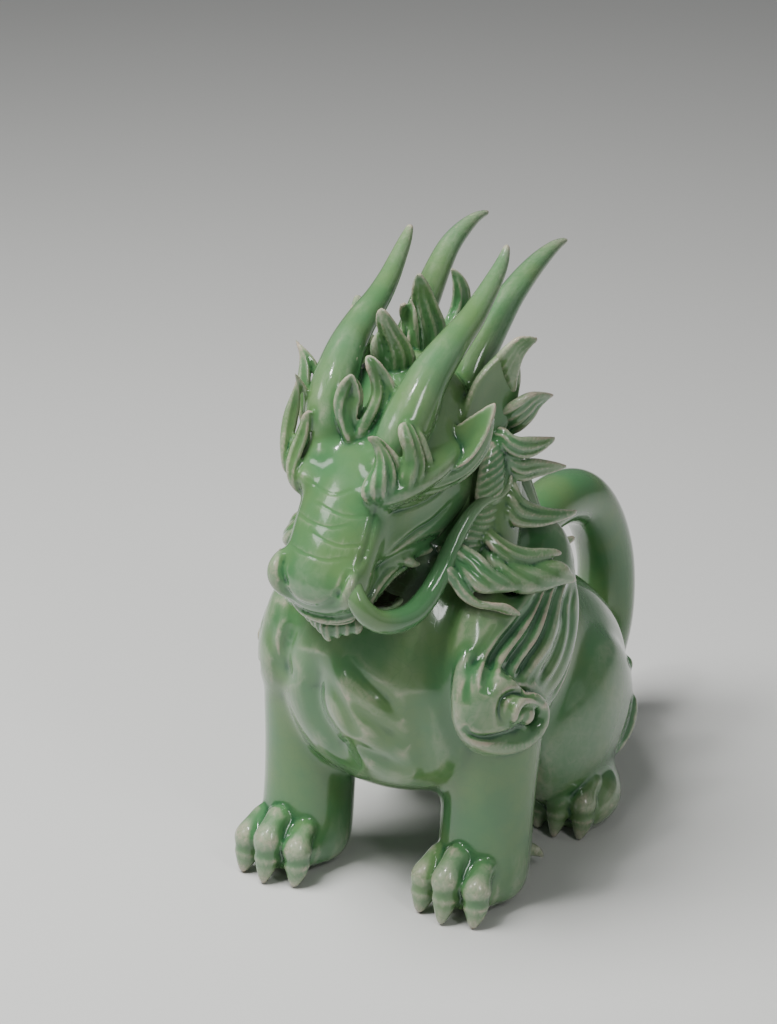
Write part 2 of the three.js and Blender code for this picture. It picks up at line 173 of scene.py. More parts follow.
def lock(clay, side, points, width, depth=None, face=UP, strands=3, groove=0.42, taper=(0.7, 1, 0.72, 0.3, 0.12)):
    """A flame lock of a few strands through its root, bends and tip."""
    depth = depth or 0.62 * width
    path = flow(points, np.linspace(0, 1, len(taper)))
    stations = [(*p, share * width, max(share, 0.16) * depth) for p, share in zip(path.tolist(), taper)]
    rod(clay, on_side(side, stations), face_on(side, face), sides=max(12 * strands, 18), rings=26,
        strands=strands, groove=groove, ends=(0.1, 0.06))


def fan(clay, side, first, last, width, strands, bulge, face, root=None, web=0.0):
    """A flame lock of separate strands, spread evenly from the first path to the last, that meet at one tip.

    The root is how far before the paths it starts. A web of the given half thickness closes the gaps between the
    strands, which are deeper then.
    """
    if root:
        first, last = ([tuple(a + b for a, b in zip(path[0], root)), *path] for path in (first, last))
    taper = np.array((0.8, 1, 1, 0.92, 0.78, 0.6, 0.42, 0.2))
    t = np.linspace(0, 1, len(taper))
    arch = np.sin(np.pi * t ** 0.7)
    first, last = flow(first, t), flow(last, t)
    spread = np.linalg.norm(last - first, axis=1)
    radius = np.maximum((0.49 if web else 0.54) * (spread / max(strands - 1, 1)), width * taper)
    if web:
        middle = (first + last) / 2 + 0.15 * bulge * arch[:, None] * np.array(face)
        half = 0.5 * spread + 0.5 * radius
        stations = [(*p, h, web) for p, h in zip(middle.tolist(), half.tolist())]
        rod(clay, on_side(side, stations), face_on(side, face), sides=24, rings=40, ends=(0.08, 0.05))
    for share in np.linspace(0, 1, strands):
        lift = bulge * 4 * share * (1 - share) * arch
        path = (1 - share) * first + share * last + lift[:, None] * np.array(face)
        stations = [(*p, r) for p, r in zip(path.tolist(), radius.tolist())]
        rod(clay, on_side(side, stations), face_on(side, face), sides=16, rings=40, ends=(0.08, 0.05))


def finish_modifiers(piece):
    """Makes a piece's modifiers part of its mesh."""
    bpy.context.view_layer.update()
    done = bpy.data.meshes.new_from_object(piece.evaluated_get(bpy.context.evaluated_depsgraph_get()))
    old = piece.data
    piece.modifiers.clear()
    piece.data = done
    bpy.data.meshes.remove(old)


def fuse(name, clay, voxel):
    """One closed skin round all the clay that was pressed together."""
    mesh = bpy.data.meshes.new(name)
    clay.to_mesh(mesh)
    clay.free()
    piece = bpy.data.objects.new(name, mesh)
    bpy.context.scene.collection.objects.link(piece)
    remesh = piece.modifiers.new("Fuse", "REMESH")
    remesh.mode = "VOXEL"
    remesh.voxel_size = voxel
    finish_modifiers(piece)
    return piece


def as_clay(piece):
    """A fused piece as clay again, so that more can be pressed on."""
    clay = bmesh.new()
    clay.from_mesh(piece.data)
    bpy.data.objects.remove(piece)
    return clay


def cut_out(piece, cutter, voxel):
    """Cuts the fused cutter's clay out of the piece."""
    tool = fuse("cutter", cutter, voxel)
    cut = piece.modifiers.new("Cut", "BOOLEAN")
    cut.operation = "DIFFERENCE"
    cut.solver = "MANIFOLD"
    cut.object = tool
    finish_modifiers(piece)
    bpy.data.objects.remove(tool)


# Work on the fused skin

class Skin:
    """The points of a fused piece, while they are smoothed and incised."""

    def __init__(self, mesh):
        self.mesh = mesh
        self.co = np.zeros(len(self.mesh.vertices) * 3)
        self.mesh.vertices.foreach_get("co", self.co)
        self.co = self.co.reshape(-1, 3)
        edges = np.zeros(len(self.mesh.edges) * 2, np.int64)
        self.mesh.edges.foreach_get("vertices", edges)
        self.edges = edges.reshape(-1, 2)
        self.degree = np.maximum(np.bincount(edges, minlength=len(self.co)), 1)[:, None]

    def neighbours(self, values):
        """The mean of each point's neighbours."""
        a, b = self.edges.T
        n = len(self.co)
        columns = [
            np.bincount(a, values[b, k], n) + np.bincount(b, values[a, k], n) for k in range(values.shape[1])
        ]
        return np.stack(columns, 1) / self.degree

    def relax(self, times, amount=0.5, where=1.0):
        """Draws each point towards the mean of its neighbours."""
        weight = np.broadcast_to(np.asarray(where, float), (len(self.co),))[:, None] * amount
        for _ in range(times):
            self.co += weight * (self.neighbours(self.co) - self.co)

    def normals(self):
        """The direction outwards at each point."""
        self.store()
        out = np.zeros(len(self.co) * 3)
        self.mesh.vertex_normals.foreach_get("vector", out)
        return out.reshape(-1, 3)

    def store(self):
        """Gives the mesh its moved points."""
        self.mesh.vertices.foreach_set("co", self.co.ravel())
        self.mesh.update()

    def press(self, height):
        """Moves each point outwards by its height."""
        self.co += self.normals() * np.asarray(height)[:, None]

    def incise(self, paths, towards, width, depth, reach=12, fade=0.2):
        """Draws grooves with a tool that is held out in one direction and cuts skin within its reach.

        A groove grows shallow over the fade, a share of its length, at each end.
        """
        tool = Vector(towards).normalized()
        level = tool.orthogonal().normalized()
        basis = np.array([level, tool.cross(level), tool])
        open_to_tool = self.normals() @ basis[2] > 0.05
        flat = self.co @ basis.T
        height = np.zeros(len(self.co))
        for path in paths:
            line = flow(path, np.linspace(0, 1, 6 * len(path))) @ basis.T
            margin = np.array([3 * width, 3 * width, reach])
            in_box = (flat > line.min(0) - margin).all(1) & (flat < line.max(0) + margin).all(1)
            index = np.flatnonzero(open_to_tool & in_box)
            if not len(index):
                continue
            points = flat[index]
            gap = np.full(len(index), 1e9)
            share = np.zeros(len(index))
            for k in range(len(line) - 1):
                start, run = line[k], line[k + 1] - line[k]
                t = np.clip((points - start)[:, :2] @ run[:2] / max(run[:2] @ run[:2], 1e-9), 0, 1)
                off = points - start - t[:, None] * run
                distance = np.linalg.norm(off[:, :2], axis=1) + 50 * (np.abs(off[:, 2]) > reach)
                closer = distance < gap
                gap[closer] = distance[closer]
                share[closer] = (k + t[closer]) / (len(line) - 1)
            ends = np.clip(np.minimum(share, 1 - share) / fade, 0, 1) ** 0.7
            cut = depth * ends * np.exp(-((gap / width) ** 2))
            deeper = np.abs(cut) > np.abs(height[index])
            height[index[deeper]] = -cut[deeper]
        self.press(height)

    def near(self, centre, radius):
        """1 at a point, falling to 0 at a radius round it."""
        gap = np.linalg.norm(self.co - np.asarray(centre), axis=1) / radius
        return np.clip(1 - gap * gap, 0, 1)

    def mark(self, name, values):
        """Keeps a value at each point for the glaze."""
        layer = self.mesh.attributes.get(name) or self.mesh.attributes.new(name, "FLOAT", "POINT")
        layer.data.foreach_set("value", np.asarray(values, np.float32))


def relief(mesh):
    """How hollow or raised each point is, in mm, at a broad and a fine scale, kept on the mesh for the glaze."""
    skin = Skin(mesh)
    start = skin.co.copy()
    normal = skin.normals()
    marks = {}
    done = 0
    for name, times in (("fine", 4), ("broad", 40)):
        skin.relax(times - done, 0.6)
        done = times
        marks[name] = np.einsum("ij,ij->i", skin.co - start, normal)
    skin.co = start
    skin.store()
    for name, values in marks.items():
        skin.mark(name, values)


def settle(piece, budget, glaze):
    """Thins the skin to its budget of triangles, brings it to the frame and gives it its glaze."""
    triangles = sum(len(p.vertices) - 2 for p in piece.data.polygons)
    if triangles > budget:
        thin = piece.modifiers.new("Thin", "DECIMATE")
        thin.ratio = budget / triangles
        thin.use_collapse_triangulate = True
        finish_modifiers(piece)
    mesh = piece.data
    relief(mesh)
    mesh.transform(Matrix.Scale(MM, 4) @ Matrix.Translation(ORIGIN))
    mesh.polygons.foreach_set("use_smooth", np.ones(len(mesh.polygons), bool))
    mesh.materials.clear()
    mesh.materials.append(glaze)
    mesh.update()
    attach(piece, "root")


# The trunk, legs and paws

def trunk(clay):
    """The barrel, rump, breast, neck and the keel of the breast."""
    barrel = [
        (0, 22, 92, 28, 28), (0, 34, 92, 44, 44), (0, 62, 89, 52, 49), (0, 95, 83, 50, 49), (0, 128, 71, 47, 49),
        (0, 156, 55, 46, 49), (0, 180, 42, 38, 42), (0, 198, 34, 22, 28), (0, 206, 30, 10, 14),
    ]
    breast = [
        (0, 64, 50, 22, 11), (0, 48, 60, 38, 21), (0, 36, 78, 48, 34), (0, 34, 100, 52, 39), (0, 38, 122, 47, 37),
        (0, 48, 145, 39, 33), (0, 56, 166, 35, 30),
    ]
    seat = [
        (0, 118, 24, 22, 16), (0, 136, 18, 34, 18), (0, 160, 17, 37, 18), (0, 182, 20, 28, 17), (0, 196, 26, 14, 12),
    ]
    nape = [
        (0, 92, 96, 36, 34), (0, 84, 118, 46, 44), (0, 76, 141, 47, 45), (0, 68, 167, 42, 40), (0, 61, 192, 36, 34),
        (0, 56, 216, 26, 26), (0, 56, 228, 17, 17),
    ]
    keel = [
        (2, 9, 119, 12, 9), (3, 6, 109, 17, 13), (4, 5, 98, 18.5, 13.5), (5, 8, 87, 18, 13.5), (6, 12, 76, 15, 12),
        (6, 18, 67, 11, 10), (6, 27, 60, 7, 7),
    ]
    rod(clay, keel, FORWARD, sides=48, rings=32)
    rod(clay, barrel, sides=64, rings=48)
    rod(clay, seat, sides=48, rings=24)
    rod(clay, breast, FORWARD, sides=64, rings=40)
    rod(clay, nape, FORWARD, sides=64, rings=40)


def toe(clay, x, y, across, pitch=13, thick=1.0):
    """A toe with two knuckles, a cuff and a claw."""
    outer = abs(across)
    back = 4 * outer
    drop = 1 - 0.16 * outer
    reach = across * pitch
    flesh = [
        (x + 0.55 * reach, y + 25 + back, 23 * drop, 5.4 * thick, 6.5 * thick),
        (x + 0.8 * reach, y + 16 + back, 28.5 * drop, 6.2 * thick, 5.9 * thick),
        (x + 0.92 * reach, y + 9.5 + back, 26.5 * drop, 5.4 * thick, 5 * thick),
        (x + 0.99 * reach, y + 5 + back, 21 * drop, 6.8 * thick, 6.8 * thick),
        (x + 1.01 * reach, y + 4.4 + back, 15.8 * drop, 5.6 * thick, 5.6 * thick),
        (x + 1.02 * reach, y + 4.2 + back, 12.8 * drop, 6.1 * thick, 6.1 * thick),
        (x + 1.03 * reach, y + 4.4 + back, 9.6 * drop, 4.2 * thick, 4.4 * thick),
    ]
    claw = [
        (x + 1.02 * reach, y + 5 + back, 14 * drop, 4.2 * thick, 4.4 * thick),
        (x + 1.03 * reach, y + 3.4 + back, 9.8 * drop, 5 * thick, 5.2 * thick),
        (x + 1.04 * reach, y + 1.8 + back, 5.6 * drop, 3.4 * thick, 3.6 * thick),
        (x + 1.04 * reach, y + 0.2 + back, 1.0, 1.2, 1.3),
    ]
    rod(clay, flesh, FORWARD, sides=24, rings=36, ends=(0.1, 0.1))
    rod(clay, claw, FORWARD, sides=20, rings=18, ends=(0.15, 0.12))


def foreleg(clay, side):
    """A straight foreleg and the palm that joins its toes."""
    back = side * STRIDE
    limb = [
        (38, 58 - back / 2, 138, 28, 17), (42, 49 - back / 2, 118, 34, 20), (43, 44 - back / 3, 98, 31, 21.5),
        (43, 41, 80, 24.5, 21.5), (43, 39, 60, 21.6, 21), (43, 37, 40, 20.6, 20.6), (43, 35, 22, 21, 20.6),
        (43, 34, 10, 20, 19.6), (43, 34, 2, 17, 16.6),
    ]
    palm = [
        (29, 27, 13, 9, 10), (36, 18, 15, 10, 12), (43, 14.5, 16, 10, 14), (50, 18, 15, 10, 12),
        (57, 27, 13, 9, 10),
    ]
    rod(clay, on_side(side, limb, back, LEAN), (side, 0, 0), sides=48, rings=48, ends=(0.05, 0.03))
    rod(clay, on_side(side, palm, back), sides=32, rings=24)


def hindleg(clay, side):
    """A folded hind leg: the round thigh, and the foot flat on the floor."""
    back = -side * HIND_STRIDE
    thigh = [
        (32, 86, 46, 18, 12), (37, 98, 48, 32, 17), (39, 118, 50, 39, 20), (38, 138, 50, 39, 20),
        (34, 158, 45, 32, 18), (28, 172, 40, 20, 14),
    ]
    foot = [
        (37, 152, 19, 12, 13), (42, 141, 15, 17, 15), (45, 129, 14, 20, 15), (45, 117, 11, 17, 11),
        (45, 112, 10, 15, 9),
    ]
    rod(clay, on_side(side, thigh), (side, 0, 0), sides=64, rings=40)
    rod(clay, on_side(side, foot, back), sides=32, rings=24)


def claws(clay, side):
    """The toes of one side, the spur behind the forepaw and the tufts of the thigh."""
    back = side * STRIDE
    spur = [(45, 50, 17, 6), (50, 60, 14, 4), (53, 67, 10, 2.6), (54.5, 71.5, 5, 0.8)]
    rod(clay, on_side(side, spur, back), sides=20, rings=16)
    for across in (-1, 0, 1):
        toe(clay, side * 43, back, across)
        toe(clay, side * 45, 105 - side * HIND_STRIDE, across, 10.5, 0.92)
    for points, width in (
        ([(38, 142, 68), (47, 150, 69), (48, 157, 74)], 7),
        ([(37, 148, 52), (45, 156, 51), (46, 163, 55)], 6),
    ):
        lock(clay, side, points, width, face=(1, 0.2, 0))


def shoulder(clay, side):
    """The mass of hair that falls from the neck over the shoulder."""
    back = side * STRIDE * 0.5
    mass = [
        (34, 86, 164, 12, 7), (46, 84, 147, 20, 8), (54, 72, 128, 28, 9), (55, 57, 111, 31, 10), (53, 46, 96, 26, 10),
        (50, 40, 86, 15, 8),
    ]
    petal = [
        (38, 44, 150, 8, 5), (45, 32, 136, 14, 8), (48.4, 24.5, 120, 17, 10), (50.6, 24, 105, 18, 10.4),
        (54, 29, 93, 15, 9.4), (57, 37, 84, 9, 6),
    ]
    rod(clay, on_side(side, mass, back, LEAN), (side, 0, 0), sides=48, rings=40)
    rod(clay, on_side(side, petal, back, LEAN), (side * 0.85, -0.5, 0), sides=48, rings=40)


def mane_place(side):
    """How far the hair lies back and to the left on each side: the right shoulder bears it farther back."""
    return (0, 0) if side == LEFT else (12, 3)


def scroll(clay, side):
    """The rim of the shoulder's hair, which rolls up round a knob, and the smooth boss inside it."""
    rim = [
        (43, 29, 139, 2), (46, 17, 129, 3), (47.5, 9.5, 121, 3.6), (49, 5.4, 111, 4), (51, 5.6, 101, 4.6),
        (54.4, 9, 93, 5), (58.4, 17, 87.4, 5), (62, 26, 84.6, 4.8), (65, 34, 84.8, 4.6), (67, 40.6, 88.4, 4.2),
        (67.6, 42.4, 94.6, 3.6), (67.8, 37.4, 101.4, 3.1), (68, 29.6, 105.6, 2.8), (68.2, 22.4, 107.2, 2.7),
        (68, 18.4, 105.4, 2.6), (67.6, 18, 101.6, 2.3), (66.6, 20.4, 97.6, 1.4),
    ]
    fill = [
        (51.6, 17, 124, 9, 6), (54.4, 14.6, 114, 14, 8.4), (57, 15.4, 104, 17, 8), (58.4, 20, 97, 17, 7),
        (59.4, 27, 95, 16, 6.4), (60.4, 35, 97, 12, 6),
    ]
    back, left = mane_place(side)
    back += side * STRIDE * 0.5
    left += LEAN
    rod(clay, on_side(side, rim, back, left), (side, 0, 0), sides=24, rings=170, ends=(0.06, 0.06))
    rod(clay, on_side(side, fill, back, left), (side * 0.8, -0.6, 0), sides=40, rings=40)
    ball(clay, on_side(side, [(66, 29, 98)], back, left)[0], (5, 6, 5.4))


def mane_lines(skin):
    """Uneven strands of the shoulder's hair, which sweep from the neck down to the curl."""
    deep = [
        [(57, 70, 149), (59.5, 60.1, 142), (60.6, 48.7, 136.3), (58.3, 36.2, 128.9), (57, 26.3, 123.1),
         (59.5, 17.7, 119.7), (60.4, 11, 113.4)],
        [(58, 76, 148), (60.3, 66.9, 141.1), (62.8, 56.5, 133.9), (62.9, 47, 126.8), (61.2, 36.6, 120.2),
         (63.8, 23, 116.6)],
        [(58, 84, 144), (60.9, 73.7, 137.4), (63.9, 64.8, 129.7), (64.7, 56.3, 122.8), (63.6, 44, 115.5),
         (66, 30, 113)],
        [(59, 91, 140), (61.2, 81.4, 131.8), (64.4, 76.6, 122.8), (64.8, 70.7, 114), (66, 57, 108.2),
         (66, 46, 105.6)],
    ]
    fine = [
        [(60.6, 62.9, 140.3), (62.3, 52.2, 134.5), (60.9, 41.1, 127.2), (59.9, 30.4, 120.9), (62, 21, 118)],
        [(60.5, 70.9, 138.3), (62.5, 62.5, 130.2), (63.2, 53.7, 122.9), (62.3, 41.7, 116.6), (64.8, 28, 114.4)],
        [(61, 79, 134), (64.4, 70, 127), (65, 64, 118), (65, 50, 111.6), (66, 38, 109)],
        [(60, 90, 136), (62, 83.7, 128), (62.6, 81.7, 115.9), (63.6, 75, 107.6), (65.7, 62.9, 103),
         (65.8, 51.6, 100)],
        [(59, 54, 143), (58.4, 42.7, 135.4), (56.4, 31, 128.8), (56.4, 20, 122), (58, 13.2, 116)],
    ]
    curl = [
        [(58, -2.4, 103), (60, 0, 98.8), (62, 9, 94.2), (64.5, 21.5, 91.5), (66, 31, 91.4), (67, 35.6, 95),
         (67, 35, 99)],
        [(66, 16.9, 98), (66, 14.6, 105), (66, 17, 110), (66, 24, 110.6), (66, 33, 107.6), (66, 44, 101.4),
         (66, 53, 94.4)],
    ]
    petal = [
        [(55, 38, 136), (54, 25, 130), (53.9, 15, 124.2), (55.5, 8, 115)],
        [(53, 34, 136), (52, 20, 127), (53, 10, 119), (55, 4.6, 110)],
    ]
    rear = [
        [(50, 97, 146), (56, 98, 132), (60, 92, 116), (62, 82, 102), (62, 68, 94), (62, 54, 92)],
        [(48, 100, 140), (53, 102, 126), (57, 96, 110), (59, 84, 96), (60, 68, 87)],
    ]
    for side in SIDES:
        seen = face_on(side, SEEN)
        move = mane_place(side)
        for lines, width, depth, tool in (
            (deep, 2.4, 2.7, seen), (fine, 1.6, 1.3, seen), (petal, 1.8, 0.7, seen),
            (rear, 1.8, 1.6, (side, 0.15, 0.1)), (curl, 1.5, 2, seen),
        ):
            skin.incise([on_side(side, line, *move) for line in lines], tool, width, depth, 18)


def hip_curls(clay, side):
    """A low curl and a knob of hair at the back of each haunch."""
    curl = [
        (52, 145, 27, 1.6), (52, 153, 31, 2.6), (51.6, 159.6, 36, 3.2), (50.6, 163.8, 41.4, 3.4),
        (50, 166, 46, 2.6), (49, 165.6, 50, 1.4),
    ]
    rod(clay, on_side(side, curl), (side, 0.5, 0), sides=20, rings=40)
    ball(clay, (side * 46, 167, 63.4), (3.4, 2.6, 4.2), tilt=-0.4)


def chest_lines(skin):
    """The hollow between the breast and the right foreleg, folds down the breast and before each foreleg."""
    hollow = [(-13, -6, 121), (-16, -5, 108), (-18, -3, 97), (-18, 1, 86), (-15, 6, 76), (-10, 11, 66), (-4, 14, 59)]
    folds = [
        [(0, -5, 121), (7, 0, 112), (14, 8, 101), (20, 10, 92)],
        [(-2, -2, 101), (6, 2, 94), (14, 11, 84), (21, 14, 78)],
        [(-4, 2, 82), (4, 6, 75), (11, 12, 70), (20, 20, 62)],
        [(-12, -4, 114), (-6, -2, 103), (-1, 2, 89), (1, 5, 80)],
    ]
    left_bay = [(33, -2, 112), (32, 4, 92), (30, 12, 72), (28, 20, 58)]
    right_folds = [
        [(-44, 14, 130), (-46, 8, 116), (-44, 10, 104), (-47, 20, 92)],
        [(-36, 10, 124), (-37, 4, 110), (-35, 8, 96)],
    ]
    for lines, width, depth, fade in (
        ([hollow], 5, 5, 0.25), (folds, 3, 1.8, 0.35), ([left_bay], 6.5, 3, 0.4), (right_folds, 3, 1.8, 0.3),
    ):
        skin.incise(lines, SEEN, width, depth, 24, fade)


def make_body(settings, glaze):
    """A softened core, with claws, scrolls and curls pressed on, the lines of hair and chest incised, and painted
    shade marked on the throat under the mouth.
    """
    clay = bmesh.new()
    trunk(clay)
    for side in SIDES:
        foreleg(clay, side)
        hindleg(clay, side)
        shoulder(clay, side)
    core = fuse("qilin_core", clay, in_mm(settings.body_grain) * CORE_GRAIN)
    skin = Skin(core.data)
    skin.relax(46, 0.6)
    skin.store()
    clay = as_clay(core)
    for side in SIDES:
        claws(clay, side)
        scroll(clay, side)
        hip_curls(clay, side)
    piece = fuse("qilin_body", clay, in_mm(settings.body_grain))
    skin = Skin(piece.data)
    skin.relax(5, 0.5)
    chest_lines(skin)
    skin.relax(5, 0.5)
    for side in SIDES:
        skin.relax(10, 0.6, skin.near(on_side(side, [(58, 14, 114)], *mane_place(side))[0], 15))
    mane_lines(skin)
    for side in SIDES:
        skin.relax(6, 0.5, skin.near(on_side(side, [(67, 27, 99)], *mane_place(side))[0], 9))
    skin.relax(2, 0.5)
    skin.co[:, 2] = np.maximum(skin.co[:, 2], FLOOR)
    skin.store()
    # Painted shade: the throat under the open mouth takes the dark mouth colour, which stands for the shade there.
    throat = [skin.near((x, y, z), 13) for x, y, z in ((-16, 17, 151), (0, 12, 148), (16, 17, 151))]
    skin.mark("mouth", 0.8 * np.sqrt(np.max(throat, axis=0)))
    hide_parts(NODE)
    settle(piece, settings.triangles, glaze)


# The tail

def make_tail(settings, glaze):
    """The tail, which rises behind the rump and arches back to the croup, with four tufts where it ends."""
    thick = in_mm(settings.tail)
    arch = [
        (0, 176, 36, thick + 9), (0, 210, 34, thick + 3), (0, 228, 52, thick + 1), (0, 231, 80, thick),
        (0, 221, 106, thick - 0.5), (0, 204, 124, thick - 0.8), (0, 184, 131, thick - 1.2),
        (0, 160, 130, thick - 2), (0, 136, 122, thick - 4), (0, 124, 114, thick - 7),
    ]
    clay = bmesh.new()
    rod(clay, arch, (1, 0, 0), sides=40, rings=90)
    for n in (-1, -0.35, 0.35, 1):
        points = [(n * 5, 160, 132), (n * 10, 138, 135), (n * 15, 122, 137), (n * 17, 112, 143)]
        lock(clay, LEFT, points, 8)
    piece = fuse("qilin_tail", clay, in_mm(settings.fine_grain))
    skin = Skin(piece.data)
    skin.relax(6)
    skin.store()
    settle(piece, settings.triangles // 2, glaze)


# The head

MOUTH_GAP = (
    (20, -15, 151.5, 17, 1.6), (22, -5, 153, 19, 5.4), (23, 7, 153.6, 19, 7.8), (23, 18, 156.4, 18, 7.6),
    (25, 28, 162.5, 17, 2.6),
)


def skull(clay):
    """The cranium and the bridge of the snout, with the nose's wings, cheeks and brows."""
    slope = (0, -0.866, 0.5)
    cranium = [
        (0, 68, 226, 14, 15), (0, 58, 222, 26, 25), (0, 42, 212, 31, 28), (0, 26, 198, 31, 26), (0, 12, 184, 25, 21),
        (0, 1, 172, 21, 17.5), (0, -9, 162, 19, 15), (0, -16, 155, 17, 13), (0, -20, 150, 14, 10),
        (0, -22, 147, 8, 6),
    ]
    bridge = [
        (0, 36, 221, 15, 11), (0, 27, 213, 18, 13), (0, 16, 205, 20, 14.6), (0, 6, 197, 20.5, 14.4),
        (0, -1.6, 188.6, 21, 14), (0, -8, 178.6, 21, 14), (0, -13.6, 169.6, 20.5, 14), (0, -17.4, 162, 20.5, 13.6),
        (0, -18.4, 156, 19, 12), (0, -17.6, 151.5, 15, 9),
    ]
    rod(clay, cranium, slope, sides=64, rings=60, square=0.9)
    rod(clay, bridge, slope, sides=64, rings=56, ends=(0.12, 0.14))
    for side in SIDES:
        flare = 1 if side == RIGHT else 0.8
        wing = [
            (15.6, -17, 173, 3, 4), (18 * flare + 0.4, -22, 169, 5 * flare, 5),
            (18.6 * flare, -24.6, 164, 5.6 * flare, 5.8), (16.6 * flare, -24, 158.6, 5 * flare, 5),
            (12, -21, 154, 4, 4),
        ]
        cheek = [
            (14, -7, 168, 7, 6), (16, 5, 173, 12, 8.5), (18, 18, 179, 15, 9.5), (20, 31, 185, 16, 10.5),
            (23, 44, 193, 15, 9.5), (24, 56, 201, 10, 8),
        ]
        brow = [
            (9, -5, 200, 4, 4), (19, -3, 200, 6.5, 6), (27, 8, 203, 6.5, 6), (31, 24, 207, 6, 5),
            (32, 40, 212, 4, 4),
        ]
        ball(clay, (side * 14, 10, 206), (12, 13, 13))
        rod(clay, on_side(side, wing), (side * 0.8, -0.5, 0.1), sides=24, rings=24, ends=(0.2, 0.2))
        rod(clay, on_side(side, cheek), (side, -0.3, 0.05), sides=40, rings=36, ends=(0.2, 0.2))
        rod(clay, on_side(side, brow), (0, -0.8, 0.6), sides=24, rings=28)


def jaw(clay):
    """The lower jaw, from the throat to the chin."""
    chin = [
        (0, 44, 160, 25, 17), (0, 26, 150, 23, 11), (0, 8, 145, 18, 7.5), (0, -6, 143.5, 13, 6),
        (0, -14, 143.5, 7, 4),
    ]
    rod(clay, chin, sides=40, rings=28)


def mouth_gap(clay, side):
    """The clay that is cut out between the jaws."""
    rod(clay, on_side(side, MOUTH_GAP), sides=32, rings=28, ends=(0.05, 0.05))


def lips(clay):
    """The rolls round the upper lip and under it."""
    half = [
        (27, 25, 167.4), (22.5, 12, 167), (20.6, 1, 164.4), (19.6, -7, 160.4), (18.4, -13, 155.2), (15, -18.5, 150.6),
        (8, -22.4, 148), (0, -24, 147.4),
    ]
    rim = half + [(-x, y, z) for x, y, z in reversed(half[:-1])]
    rod(clay, [(*p, 1.5, 1.7) for p in rim], UP, sides=14, rings=120, ends=(0.03, 0.03))
    under = [(13, -14, 146.6), (8, -18.6, 145.4), (0, -20.6, 145), (-8, -18.6, 145.4), (-13, -14, 146.6)]
    rod(clay, [(*p, 1.3, 1.3) for p in under], UP, sides=12, rings=50)


def beard(clay):
    """Seven short locks that hang from the chin."""
    for n in range(-3, 4):
        out = abs(n)
        points = [
            (n * 2.9, -9 + 0.8 * out, 147), (n * 3.7, -16 + 1.6 * out, 143.6),
            (n * 3.9, -17 + 1.8 * out, 138.6 + 0.7 * out), (n * 2.6, -14.5 + 1.8 * out, 133.4 + 1.9 * out),
        ]
        lock(clay, LEFT, points, 2.9, 2.7, FORWARD, strands=2, groove=0.3, taper=(0.8, 1, 1, 0.8, 0.4))


def teeth(clay, side):
    """A gum with its row of small teeth and the fang at the corner of the mouth."""
    gum = [(17.5, -10, 155.8), (18.6, -4, 158.6), (19.6, 3, 161.6), (21, 10, 163.4), (22.4, 17, 164.4)]
    rod(clay, on_side(side, [(*p, 1.7, 2.4) for p in gum]), (side, 0, 0), sides=12, rings=30)
    places = flow(gum, np.linspace(0.02, 0.98, 13))
    for x, y, z in places.tolist():
        tooth = [
            (x, y, z - 1.4, 1.25, 1.1), (x + 0.2, y + 0.3, z - 3.2, 0.9, 0.8),
            (x + 0.3, y + 0.6, z - 4.2, 0.3, 0.3),
        ]
        rod(clay, on_side(side, tooth), (side, 0, 0), sides=10, rings=6)
    fang = [
        (22.4, 7, 169.4, 3.2, 2.6), (23.8, 9, 167, 2.8, 2.3), (25, 11.5, 165, 2, 1.7),
        (26.4, 15.4, 163.6, 0.6, 0.6),
    ]
    rod(clay, on_side(side, fang), (side, 0, 0), sides=16, rings=16, ends=(0.1, 0.08))


def ear(clay, side):
    """A dished ear. The right one stands higher and lies back."""
    up, back = (0, 0) if side == LEFT else (8, 3)
    blade = [
        (30, 45, 198, 8, 5), (32.5, 50, 210, 13, 5), (35, 55.5, 221, 14.5, 4.6), (37, 59.5, 231, 13.4, 4.2),
        (38.6, 62.5, 239, 9.4, 3.6), (39.4, 64.5, 245, 4.4, 2.8), (39.6, 65.2, 248, 1.6, 1.6),
    ]
    raised = [(x, y + back * k / 4, z + up * k / 6, *size) for k, (x, y, z, *size) in enumerate(blade)]
    rod(clay, on_side(side, raised), face_on(side, (0.93, -0.36, -0.04)),
        sides=48, rings=44, dish=0.3, ends=(0.1, 0.05))


